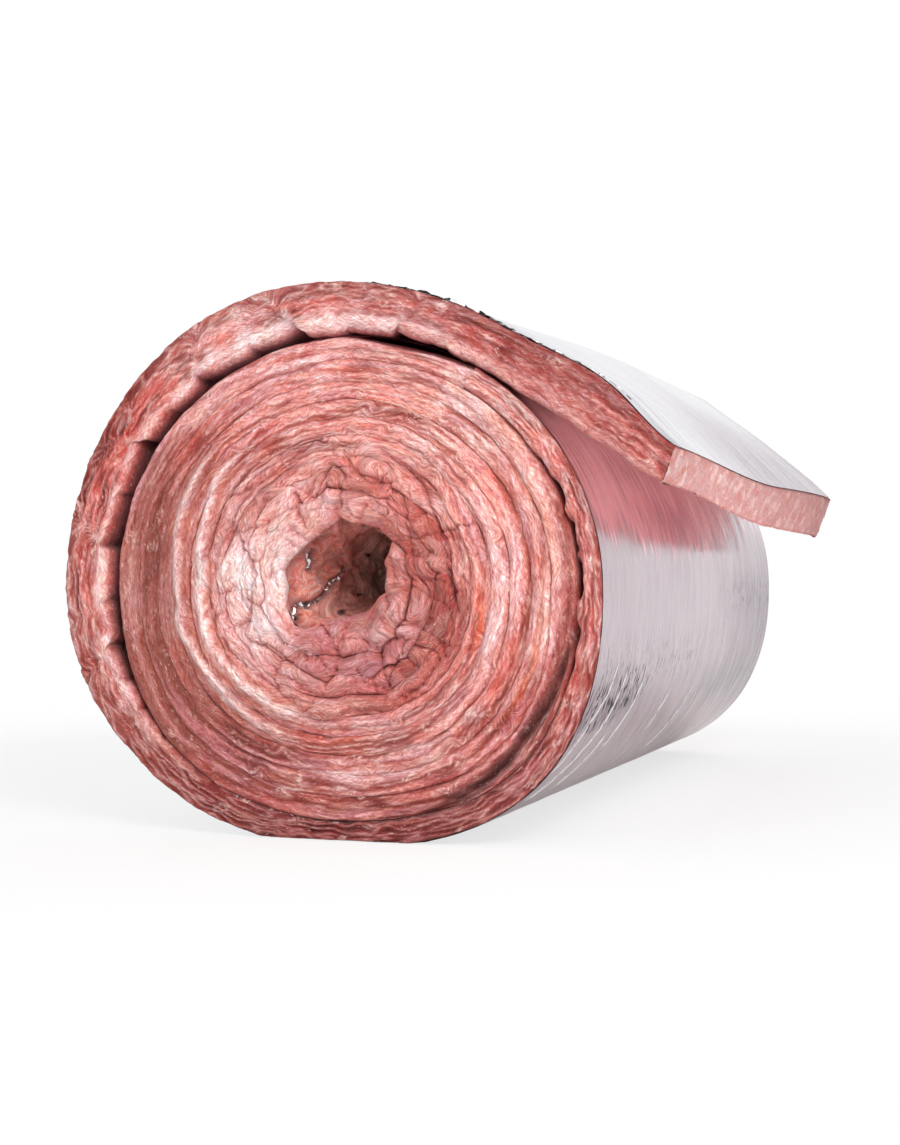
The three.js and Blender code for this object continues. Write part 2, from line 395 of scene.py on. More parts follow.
def wool_material():
    material = bpy.data.materials.new("glass_wool")
    graph = Graph(material)
    times, plus, ranged = partial(graph.math, "MULTIPLY"), partial(graph.math, "ADD"), graph.ranged
    shader = graph.nodes["Principled BSDF"]
    graph.put(shader, {"Roughness": 1.0, "Specular IOR Level": 0.12})
    graph.put(shader, {"Sheen Weight": 0.2, "Sheen Roughness": 0.6, "Sheen Tint": (1.0, 0.85, 0.82, 1.0)})
    graph.put(shader, {"Subsurface Radius": (1.0, 0.3, 0.25), "Subsurface Scale": 0.006})
    shader.inputs["Subsurface Weight"].default_value = 0.35
    place = graph.add("UVMap", uv_map="lay")
    tint = graph.add("VertexColor", layer_name="tint").node.outputs
    # A slow warp bends the fibres off the blanket's own direction
    warp = graph.noise(place, (22, 40), 2.0, 0.6, out="Color")
    bent = graph.add("VectorMath", {0: warp, 1: (0.008, 0.010, 0.0), 2: place}, operation="MULTIPLY_ADD")

    def slanted(degrees, along, across):
        turn, scale = (0, 0, math.radians(degrees)), (1 / along, 1 / across, 1.0)
        return graph.add("Mapping", {"Vector": bent, "Rotation": turn, "Scale": scale}, vector_type="TEXTURE")

    strands, fibres = graph.noise(bent, (17, 210), 4.0, 0.62, 0.3), graph.noise(bent, (90, 760), 3.0, 0.7)
    rising = graph.noise(slanted(24, 85.0, 430.0), None, 3.0, 0.66)
    falling = graph.noise(slanted(-19, 70.0, 390.0), None, 3.0, 0.66)
    wisps, mottle = graph.noise(bent, (75, 190), 4.0, 0.7, 1.6), graph.noise(bent, (26, 60), 3.0, 0.6, 0.6)
    flecks, patches = graph.noise(bent, (130, 600), 2.0, 0.5), graph.noise(place, (20, 34), 2.0, 0.6)
    curls = graph.noise(slanted(8, 62.0, 270.0), None, 2.5, 0.55, 0.7)
    threads = graph.noise(slanted(-13, 80.0, 330.0), None, 2.5, 0.55, 0.5)

    def hairs(source, wide, low, high, most):
        """Thin wandering lines, in some patches only."""
        off = graph.math("ABSOLUTE", graph.math("SUBTRACT", source, 0.5))
        return times(ranged(off, 0.0, wide, 1.0, 0.0), ranged(patches, low, high, 0.0, most))

    pale_hairs, dark_hairs = hairs(curls, 0.034, 0.44, 0.62, 0.6), hairs(threads, 0.030, 0.58, 0.40, 0.55)
    amount = tint["Alpha"]
    fine = ranged(amount, 0.0, 0.4, 0.3, 1.0)
    curly = times(fine, ranged(amount, 0.45, 1.0, 1.0, 0.6))
    colour = tint["Color"]
    # Where it starts and is full, its most, what it is weighted with, and the factor on the colour
    for source, low, high, most, share, factor in (
        (mottle, 0.5, 0.7, 0.8, None, (1.0, 0.84, 0.74)),
        (mottle, 0.5, 0.3, 0.7, None, (0.90, 0.82, 0.90)),
        (strands, 0.5, 0.7, 0.75, amount, (1.14, 1.36, 1.34)),
        (strands, 0.5, 0.28, 0.6, amount, (0.68, 0.42, 0.39)),
        (rising, 0.5, 0.7, 0.8, fine, (1.14, 1.36, 1.34)),
        (rising, 0.5, 0.3, 0.7, fine, (0.74, 0.50, 0.47)),
        (falling, 0.5, 0.7, 0.8, fine, (1.14, 1.36, 1.34)),
        (falling, 0.5, 0.3, 0.7, fine, (0.74, 0.50, 0.47)),
        (wisps, 0.5, 0.72, 0.7, curly, (1.14, 1.40, 1.38)),
        (wisps, 0.5, 0.28, 0.7, curly, (0.78, 0.54, 0.50)),
        (fibres, 0.5, 0.3, 0.5, fine, (0.70, 0.46, 0.44)),
        (fibres, 0.5, 0.7, 0.6, fine, (1.14, 1.40, 1.38)),
    ):
        weight = ranged(source, low, high, 0.0, most)
        weight = weight if share is None else times(weight, share)
        colour = graph.mixed(weight, colour, (*factor, 1.0), "MULTIPLY")
    for source, factor in ((dark_hairs, (0.74, 0.46, 0.43)), (pale_hairs, (1.22, 1.55, 1.52))):
        colour = graph.mixed(times(source, fine), colour, (*factor, 1.0), "MULTIPLY")
    colour = graph.mixed(ranged(flecks, 0.70, 0.77, 0.0, 0.5), colour, (0.95, 0.8, 0.78, 1.0))
    colour.node.clamp_result = True
    height = plus(plus(plus(strands, wisps), plus(rising, falling)), times(plus(pale_hairs, fibres), 0.5))
    graph.coated(shader, colour, height, 0.8, 0.0024)
    return material


BRUSHED_SHARE = 3.0  # how strong the short streaks along the way of the winding are
CRUMPLED_ROUGHNESS = 0.45  # of the crumpled edges, whose mark has an alpha of 0


def foil_material():
    material = bpy.data.materials.new("foil")
    graph = Graph(material)
    shader = graph.nodes["Principled BSDF"]
    graph.put(shader, {"Metallic": 1.0, "Specular Tint": (0.97, 0.94, 0.955, 1.0)})
    place = graph.add("UVMap", uv_map="lay")
    fine, coarse = graph.noise(place, (34, 330), 4.0), graph.noise(place, (11, 52), 3.0)
    dashes, lines = graph.noise(place, (48, 230), 2.0), graph.noise(place, (6, 230), 3.0)
    brushed = graph.noise(place, (26, 300), 2.0)
    marks, hue = (graph.add("VertexColor", layer_name=name).node.outputs for name in ("tint", "hue"))
    zone = graph.add("SeparateColor", {"Color": marks["Color"]}).node.outputs
    shade = graph.add("ValToRGB", {"Fac": fine})
    dim, bright = shade.node.color_ramp.elements
    dim.position, bright.position = 0.25, 0.7
    dim.color, bright.color = (0.84, 0.82, 0.84, 1), (1.0, 1.0, 1.0, 1)

    def marked(source, low, high, name):
        return graph.math("MULTIPLY", graph.ranged(source, low, high), zone[name])

    dark = graph.ranged(marked(dashes, 0.50, 0.62, "Red"), 0.12, 0.5)
    # Painted dark reflections along the wrinkles, and painted black shade under the torn edge
    wrinkle_reflection, black_tear_shade = marked(lines, 0.52, 0.6, "Green"), marked(dashes, 0.42, 0.52, "Blue")
    colour = graph.mixed(1.0, hue["Color"], shade, "MULTIPLY")
    colour = graph.mixed(dark, colour, (0.06, 0.055, 0.075, 1.0))
    colour = graph.mixed(wrinkle_reflection, colour, (0.12, 0.11, 0.13, 1.0))
    colour = graph.mixed(black_tear_shade, colour, (0.02, 0.02, 0.025, 1.0))
    larger = partial(graph.math, "MAXIMUM")
    dull = graph.ranged(larger(larger(dark, wrinkle_reflection), black_tear_shade), 0.0, 1.0, 0.0, 0.7)
    dull = larger(dull, graph.ranged(marks["Alpha"], 0.0, 1.0, CRUMPLED_ROUGHNESS, 0.0))
    graph.put(shader, {"Roughness": larger(graph.ranged(coarse, 0.35, 0.7, 0.13, 0.24), dull)})
    height = graph.math("MULTIPLY_ADD", coarse, 2.5, fine)
    height = graph.math("MULTIPLY_ADD", brushed, BRUSHED_SHARE, height)
    graph.coated(shader, colour, height, 0.15, 0.0005)
    return material


WOOL, FOIL = wool_material(), foil_material()

# ---------------------------------------------------------------- the ends of the roll
# In these tables angles are from the +X side, seen from the near end, and distances in millimetres.
# Creases in the loose wrap's inner lip: angle, depth, and the side on which each is steep
LIP_CREASES = [
    (232, 4, -1), (219, 9, 1), (210, 6, 1), (203, 4, -1), (194, 12, 1), (183, 6, 1), (171.5, 17, -1),
    (159, 5, 1), (145.5, 16, 1), (136, 4, 1), (127, 12, -1), (113, 6, -1), (100, 18, 1), (90, 4, -1),
    (79, 10, -1), (66, 4, 1),
]
# Where the wool is paler or darker than the rest: colour, angle, wrap, half width of both, weight
# They are partly the wool's own tone and partly painted light and shade, where faces turn to or from the
# light
ZONES = [
    (WHITISH, 184, 1.3, 50, 2.6, 1.15), (WHITISH, 182, 4.2, 40, 0.7, 0.8), (PALE, 238, 2.6, 30, 1.2, 0.6),
    (PALE, 130, 1.2, 34, 1.4, 0.9), (BROWN, 178, 7.4, 46, 1.7, 1.0), (MAUVE, 148, 4.9, 30, 1.5, 0.7),
    (TAN, 10, 2.0, 34, 1.5, 1.15), (BROWN, 352, 1.9, 26, 1.2, 0.6), (BROWN, 336, 2.7, 22, 0.9, 0.7),
    (MAUVE, 290, 0.6, 50, 1.7, 1.3), (BLUSH, 22, 5.6, 34, 2.4, 1.0), (BROWN, 232, 6.4, 30, 2.4, 1.0),
    (BROWN, 272, 8.3, 26, 0.9, 0.9), (BLUSH, 84, 6.0, 42, 3.2, 0.9), (BROWN, 322, 8.0, 30, 1.2, 0.5),
    (ORANGE, 352, 4.0, 26, 0.5, 0.8), (ORANGE, 268, 5.25, 12, 0.25, 0.8),
]
# Radius of the bore's mouth at the near end, about the bore's centre, by angle
MOUTH = [
    (0, 57), (21, 57), (31, 63), (38, 73), (51, 77), (64, 72), (77, 69), (90, 71), (104, 64), (117, 60),
    (133, 58), (148, 62), (163, 70), (188, 69), (210, 76), (222, 78), (235, 74), (248, 55), (274, 46),
    (295, 48), (313, 51), (333, 53), (360, 57),
]
# Places darker (above 1) or paler (below 1) than the rest: angle, wrap, half width of both, power
# They are partly the wool's own tone and partly painted shade and light
SHADES = [
    (269, 8.75, 34, 0.75, 2.15), (221, 6.2, 28, 2.0, 2.1), (13, 7.0, 15, 1.0, 1.2), (178, 7.6, 34, 1.3, 1.4),
    (322, 7.0, 26, 2.2, 1.45), (148, 9.6, 20, 0.3, 1.5), (138, 6.4, 26, 2.0, 1.45), (19, 1.9, 26, 1.1, 1.3),
    (345, 2.7, 24, 1.2, 1.3), (184, 1.2, 46, 1.6, 0.52), (281, 0.6, 26, 1.0, 0.85), (46, 7.6, 20, 1.6, 0.74),
    (115, 9.7, 16, 0.25, 0.8),
]
# Ridges that stand proud on the -X side: angle and distance from the bore's centre
CRESTS = [
    [(136, 206), (157, 200), (175, 193), (200, 191), (223, 183), (242, 186), (256, 184)],
    [(130, 184), (144, 178), (174, 161), (208, 165), (238, 157), (262, 160)],
]
CREST_HEIGHT = 10.5
# Bands on the +X side: height, half width, colour and its strength, and their way round the bore: angle and
# distance from its centre
# The raised pale bands and the sunk dark ones are partly painted light and shade; the orange ones are the
# wool's own colour
BANDS = [
    (5.5, 9.5, linear(248, 188, 178), 0.6, [
        (-29, 244), (-23, 248), (-12, 249), (9, 254), (30, 258), (39, 255), (49, 246), (56, 250)]),
    (5.0, 8.0, linear(248, 200, 199), 0.6, [
        (-33, 195), (-25, 198), (-14, 198), (-3, 195), (9, 191), (21, 189), (33, 190), (42, 194)]),
    (3.0, 5.5, linear(240, 190, 192), 0.6, [(-16, 215), (-3, 213), (8, 213), (18, 213), (28, 212)]),
    (-5.5, 6.0, linear(170, 84, 70), 0.75, [(-12, 228), (0, 226), (8, 224), (17, 223), (27, 224), (38, 224)]),
    (-5.5, 7.0, linear(160, 84, 76), 0.7, [
        (-25, 273), (-16, 273), (-5, 272), (4, 271), (12, 270), (20, 267), (31, 267)]),
    (-19.0, 6.0, linear(84, 32, 30), 1.0, [
        (-70, 284), (-56, 283), (-45, 282), (-33, 280), (-23, 279), (-12, 282), (-4, 281)]),
    (0.0, 3.0, linear(240, 104, 60), 0.75, [(-29, 182), (-24, 179), (-13, 177), (-5, 174), (2, 171)]),
    (0.0, 3.0, linear(240, 112, 70), 0.7, [
        (-40, 245), (-29, 249), (-22, 250), (-15, 245), (-8, 241), (0, 238)]),
]


CREASED_WRAPS = 9.3  # how far along the blanket it is creased
CREASE_DEPTHS, CREASE_GAPS = (3.0, 13.0), (16, 58)  # in the slack turns round the core
INNER_CREASES = 0.78  # share of the creases that start from the blanket's inner side
CREASE_REACH = 44  # how far a crease is felt along the blanket


class Creases:
    """Short creases across the wraps, where the blanket's inner side buckled as it was wound."""

    def __init__(self, seed):
        rand = np.random.default_rng(seed)
        self.seed, self.rows, at = seed, [], 4.0
        self.fine = np.arange(0, length_at(CREASED_WRAPS + 0.1), 1.0)
        self.scallop = np.full_like(self.fine, -1.5)
        while at < length_at(CREASED_WRAPS):
            packed = float(smooth(float(wrap_share(at)[0]), 1.8, 4.6))
            strength = rand.uniform(*CREASE_DEPTHS) * lerp(1.0, 0.28, packed)
            slant, reach = rand.uniform(-0.7, 0.7), rand.uniform(0.45, 1.3)
            inside = rand.random() < INNER_CREASES
            self.rows.append((at, strength, slant, reach, inside))
            if inside:
                self.scallop += 0.5 * strength * np.exp(-np.abs(self.fine - at) / 5.5)
            at += rand.uniform(*CREASE_GAPS) * lerp(1.0, 4.2, packed)

    def shift(self, s):
        return np.interp(s, self.fine, self.scallop)

    def cut(self, s, r):
        """Depth of the creases on an end, and how near the closest one is, sharply and softly."""
        depth, near, soft = np.zeros((3,) + s.shape)
        wide = np.maximum(r.max(1, keepdims=True), 1)
        for at, strength, slant, reach, inside in self.rows:
            low, high = np.searchsorted(s[:, 0], [at - CREASE_REACH, at + CREASE_REACH])
            if high - low < 1:
                continue
            rr = r[low:high]
            past = s[low:high] - at - slant * rr - 3.5 * noise(rr / 8, at, self.seed)
            past = past if slant > 0 else -past
            gap = np.abs(past)
            span = rr / wide[low:high] if inside else 1 - rr / wide[low:high]
            share = 1 - smooth(span, reach - 0.35, reach)
            step = np.exp(-gap / np.where(past > 0, 2.2, 15.0))
            depth[low:high] += strength * share * (0.25 * np.exp(-gap / 1.8) + 0.5 * step)
            near[low:high] = np.maximum(near[low:high], share * np.exp(-gap / 1.5) * min(1, strength / 8))
            soft[low:high] = np.maximum(soft[low:high], share * np.exp(-gap / 5.0) * min(1, strength / 8))
        return depth, near, soft


def mouth_shift(w):
    """How far the mouth of the bore at the near end lies outwards of the even spiral."""
    wanted = np.interp((-360 * w) % 360, *zip(*MOUTH))
    under_nose = 1 - smooth(w, 0.86, 0.93)
    return (wanted - spiral_radius(w)) * under_nose * (w < 1) * smooth(w, INNER_END, -0.03)


def seam_shift(w, near):
    """How far a seam lies outwards of the even spiral: most where the turns near the core have buckled."""
    s = length_at(np.clip(w, INNER_END, LIFT_OFF))
    seed = 3 if near else 77
    buckled = 9.0 * fbm(s / 58, 3.3, seed, 2) * (1 - smooth(w, 2.6, 5.4))
    even = 3.0 * fbm(s / 120, 9.1, seed + 5, 2) + 1.2 * noise(s / 21, 2.1, seed + 6)
    scallop = (NEAR_CREASES if near else FAR_CREASES).shift(s) * (1 - 0.6 * smooth(w, 3, 6))
    fixed = smooth(w, 0.9, 1.15) * (1 - smooth(w, 8.3, 8.75))
    shift = (buckled + even + scallop) * fixed
    if near:
        shift = shift + mouth_shift(w) + (0.8 * scallop + 1.5 * noise(s / 17, 4.4, 8)) * (1 - fixed) * (w < 1)
    return shift


NEAR_CREASES, FAR_CREASES = Creases(43), Creases(117)
MOUTH_ROUND = 18.0  # how far the wool curves over into the bore
BORE = np.array([CORE_OFFSET_X, COIL_HEIGHT + CORE_OFFSET_Z])  # the bore's centre in the XZ plane
SMALL_CURLS = 46
# Curls of the wool round the core: angle, distance from the bore's centre, size, turn, height
CURLS = [
    (338, 86, 27, 3.4, 7.0), (71, 126, 20, -2.8, 5.0), (92, 104, 17, 3.0, 5.0), (282, 74, 17, -2.4, 6.0),
    (251, 101, 16, 2.6, 4.0), (298, 121, 15, 2.2, 3.0), (315, 124, 14, -2.2, 3.0), (12, 107, 18, 1.6, 3.0),
    (36, 118, 18, -1.4, 3.0), (52, 98, 16, -2.6, 4.0), (308, 84, 15, -2.4, 5.0), (228, 104, 14, 1.8, 3.0),
]


def wound_up(gs, gr, size, turn):
    """How near points are to a curl's middle, and how far they shift as it winds the fibres up."""
    near = bell(np.hypot(gs, gr), size)
    c, n = np.cos(turn * near), np.sin(turn * near)
    return near, gs * c - gr * n - gs, gs * n + gr * c - gr


def swirled(plane, up, S, R, seed):
    """How far points shift along and across the blanket as curls wind its fibres up, and their height."""
    along = np.stack([up[:, 1], -up[:, 0]], -1)[:, None]
    shift_s, shift_r, height = np.zeros((3,) + S.shape)
    for degrees, far_out, size, turn, rise in CURLS:
        a = math.radians(degrees)
        gap = plane - (BORE + np.array([far_out * math.cos(a), far_out * math.sin(a)]))
        gs, gr = (gap * along).sum(-1), (gap * up[:, None]).sum(-1)
        near, along_too, across_too = wound_up(gs, gr, size, turn)
        shift_s += along_too
        shift_r += across_too
        height += rise * near
    rand = np.random.default_rng(seed)
    for _ in range(SMALL_CURLS):
        at, r, size = rand.uniform(0, length_at(7.5)), rand.uniform(2, 24), rand.uniform(6, 12)
        turn = rand.uniform(0.8, 1.7) * rand.choice((-1, 1))
        low, high = np.searchsorted(S[:, 0], [at - 3 * size, at + 3 * size])
        if high - low < 1:
            continue
        _, along_too, across_too = wound_up(S[low:high] - at, R[low:high] - r, size, turn)
        shift_s[low:high] += along_too
        shift_r[low:high] += across_too
    return shift_s, shift_r, height


def blocks(S, R, seed, long, wide):
    """Cells with a slope and a tone of their own: height, tone and distance to the next cell, in cells."""
    x = S / long + 0.22 * noise(S / 19, R / 15, seed)
    y = R / wide + 0.18 * noise(S / 16, R / 12, seed + 1)
    ix, iy = np.floor(x), np.floor(y)
    first, second = np.full(x.shape, 9.0), np.full(x.shape, 9.0)
    height, tone = np.zeros_like(x), np.zeros_like(x)
    for dx in (-1, 0, 1):
        for dy in (-1, 0, 1):
            jx, jy = ix + dx, iy + dy
            gx = x - jx - 0.5 - 0.7 * (lattice(jx, jy, seed + 2) - 0.5)
            gy = y - jy - 0.5 - 0.7 * (lattice(jx, jy, seed + 3) - 0.5)
            gap = np.hypot(gx, gy)
            nearer = gap < first
            second = np.where(nearer, first, np.minimum(second, gap))
            first = np.where(nearer, gap, first)
            slope_x, slope_y, rise = (lattice(jx, jy, seed + k) - 0.5 for k in (4, 5, 6))
            slope = slope_x * gx * long + slope_y * gy * wide
            height = np.where(nearer, 0.55 * slope + 3.0 * rise, height)
            tone = np.where(nearer, lattice(jx, jy, seed + 7) * 2 - 1, tone)
    return np.clip(height, -5, 5), tone, second - first


def nearness(W, centre, wrap, half_angle, half_wrap):
    """1 at an angle in a wrap, falling to nothing round it."""
    off = signed(angle_of(W) - centre)
    return np.exp(-((off / half_angle) ** 2) - ((W - wrap) / half_wrap) ** 2)


def shaded(tint, W):
    power = np.ones_like(W)
    for *place, amount in SHADES:
        power = power * amount ** nearness(W, *place)
    return np.clip(tint, 0, 1) ** power[..., None]


# Folds of the wool round the core: depth, which side lies low, and their way, from the bore's centre
FOLDS = [
    (7, 1, [(55, 142), (86, 122), (101, 106), (109, 90), (123, 56), (128, 28), (134, -4), (143, -36)]),
    (6, 1, [(67, 99), (78, 95), (84, 76), (86, 45), (90, 26), (94, 6), (109, -15)]),
    (5, -1, [(86, 45), (109, 47), (125, 52), (146, 58), (158, 60)]),
    (4, -1, [(92, 4), (110, 0), (130, -3)]),
    (6, -1, [(-25, 91), (-18, 108), (-12, 120), (-4, 127), (5, 125), (12, 114), (6, 99), (4, 80)]),
    (5, 1, [(9, 143), (21, 124), (32, 111), (48, 106), (62, 117)]),
    (5, 1, [(-128, 92), (-85, 112), (-60, 130), (-33, 150), (-17, 158)]),
    (5, 1, [(-117, 53), (-85, 64), (-53, 79), (-30, 97), (-25, 111)]),
    (6, -1, [(-121, 53), (-112, 31), (-101, 13), (-99, -1), (-105, -13), (-108, -35), (-112, -53),
        (-111, -71), (-85, -75), (-62, -89), (-56, -97)]),
    (4, 1, [(-146, -18), (-128, -16), (-107, -12)]),
    (3, 1, [(-132, -58), (-112, -54)]),
    (5, 1, [(-56, -97), (-45, -86), (-33, -82), (-22, -89), (-7, -109), (5, -90), (-6, -67), (-20, -53)]),
    (6, 1, [(-20, -53), (1, -71), (32, -66), (48, -78), (55, -101), (62, -120)]),
    (6, 1, [(62, -117), (68, -95), (86, -73), (117, -80), (122, -87), (109, -109), (90, -127), (68, -135)]),
    (5, 1, [(61, -38), (71, -16), (90, -9), (109, -16), (113, -34), (102, -48), (79, -52)]),
    (5, 1, [(71, -52), (94, -52), (124, -69), (128, -86)]),
    (4, 1, [(109, -20), (132, -30), (139, -52), (128, -66)]),
    (4, 1, [(25, -103), (32, -117), (55, -123)]),
    (5, 1, [(-141, -68), (-128, -87), (-105, -104), (-72, -127), (-53, -144)]),
    (4, 1, [(-45, -125), (-30, -129), (-25, -139), (-34, -151)]),
]
FOLD_REACH = 190.0  # millimetres from the bore's centre


def rounded(line):
    """The line with its corners cut twice."""
    line = np.array(line, float)
    for _ in range(2):
        a, b = line[:-1], line[1:]
        middle = np.stack([0.75 * a + 0.25 * b, 0.25 * a + 0.75 * b], 1).reshape(-1, 2)
        line = np.concatenate([line[:1], middle, line[-1:]])
    return line


def folds_at(plane):
    """Depth of the folds round the core, and how near the closest one is, sharply and softly."""
    at = plane - BORE
    depth, near, soft = np.zeros((3,) + at.shape[:-1])
    inside = np.hypot(at[..., 0], at[..., 1]) < FOLD_REACH
    at = at[inside]
    bent = np.stack([noise(at[:, 0] / 11, at[:, 1] / 11, 171), noise(at[:, 0] / 11, at[:, 1] / 11, 172)], -1)
    at = at + 3.0 * bent
    deep, sharp, wide = np.zeros((3, len(at)))
    for amount, low_side, line in FOLDS:
        line = rounded(line)
        gap, side = np.full(len(at), 99.0), np.ones(len(at))
        for a, b in zip(line[:-1], line[1:]):
            run, off = b - a, at - a
            share = np.clip(off @ run / (run @ run), 0, 1)
            here = np.linalg.norm(off - share[:, None] * run, axis=1)
            side = np.where(here < gap, np.sign(run[0] * off[:, 1] - run[1] * off[:, 0]), side)
            gap = np.minimum(gap, here)
        step = np.exp(-gap / np.where(side * low_side > 0, 10.0, 1.8))
        deep += amount * (0.5 * np.exp(-gap / 1.4) + 0.75 * step)
        sharp = np.maximum(sharp, np.exp(-gap / 1.5) * amount / 7)
        wide = np.maximum(wide, np.exp(-gap / 5.0) * amount / 7)
    depth[inside], near[inside], soft[inside] = deep, sharp, wide
    return depth, near, soft


def past_line(plane, line, k):
    """How far points lie outwards of a line about the bore, and the line's share there."""
    x, z = plane[..., 0] - BORE[0], plane[..., 1] - BORE[1]
    first, last = line[0][0], line[-1][0]
    middle = (first + last) / 2
    angle = signed(np.degrees(np.arctan2(z, x)) - middle) + middle
    at = np.interp(angle, *zip(*line)) + 2.5 * noise(angle / 7, 0.5 + k, 66)
    fade = between(angle, first - 8, first + 14, last - 20, last + 4)
    return np.hypot(x, z) - at, fade, angle


def crest_of(plane):
    """Height, painted highlight and painted shade of the ridges that stand proud on the -X side."""
    height, highlight, shade = np.zeros((3,) + plane.shape[:-1])
    for k, line in enumerate(CRESTS):
        past, fade, angle = past_line(plane, line, k)
        height += CREST_HEIGHT * fade * bell(past, np.where(past < 0, 2.8, 10.5))
        broad = 6.0 + 3.0 * noise(angle / 9, 2.5 + k, 67)
        highlight = np.maximum(highlight, fade * bell(past - 2, np.where(past < 2, 3.6, broad)))
        shade = largest(shade, 1.2 * fade * bell(past + 6.0, 3.6), 0.7 * fade * bell(past - 13, 5.0))
    return height, highlight, shade


def second_slit(w, s):
    """Where the seam beside the outermost wrap gapes, low on the +X side."""
    return between(w, 8.87, 8.93, 9.02, 9.08) * patchy(s / 38, 0.4, 19, -0.45, 0.1)


COIL_INSET, LOOSE_INSET = 7, 4  # how far the ends' wool lies behind the blanket's own width
SKIRT = [70.0, 24.0]  # how far back the rows lie that close the seams behind
COOLER = np.array([1.0, 1.0, 1.05])


def columns_of(count, edge, hem=()):
    """Shares of the thickness, denser at both sides, and how far back each lies, ending in skirts."""
    t = np.linspace(-1, 1, count)
    d = 0.5 + 0.5 * ((1 - edge) * t + edge * np.sin(t * np.pi / 2))
    sunk = np.concatenate([SKIRT, np.zeros(count), hem, SKIRT[::-1]])
    return np.concatenate([[0, 0], d, [1] * len(hem), [1, 1]]), sunk


def even_steps(begin, end, step):
    return np.linspace(begin, end, int((end - begin) / step))


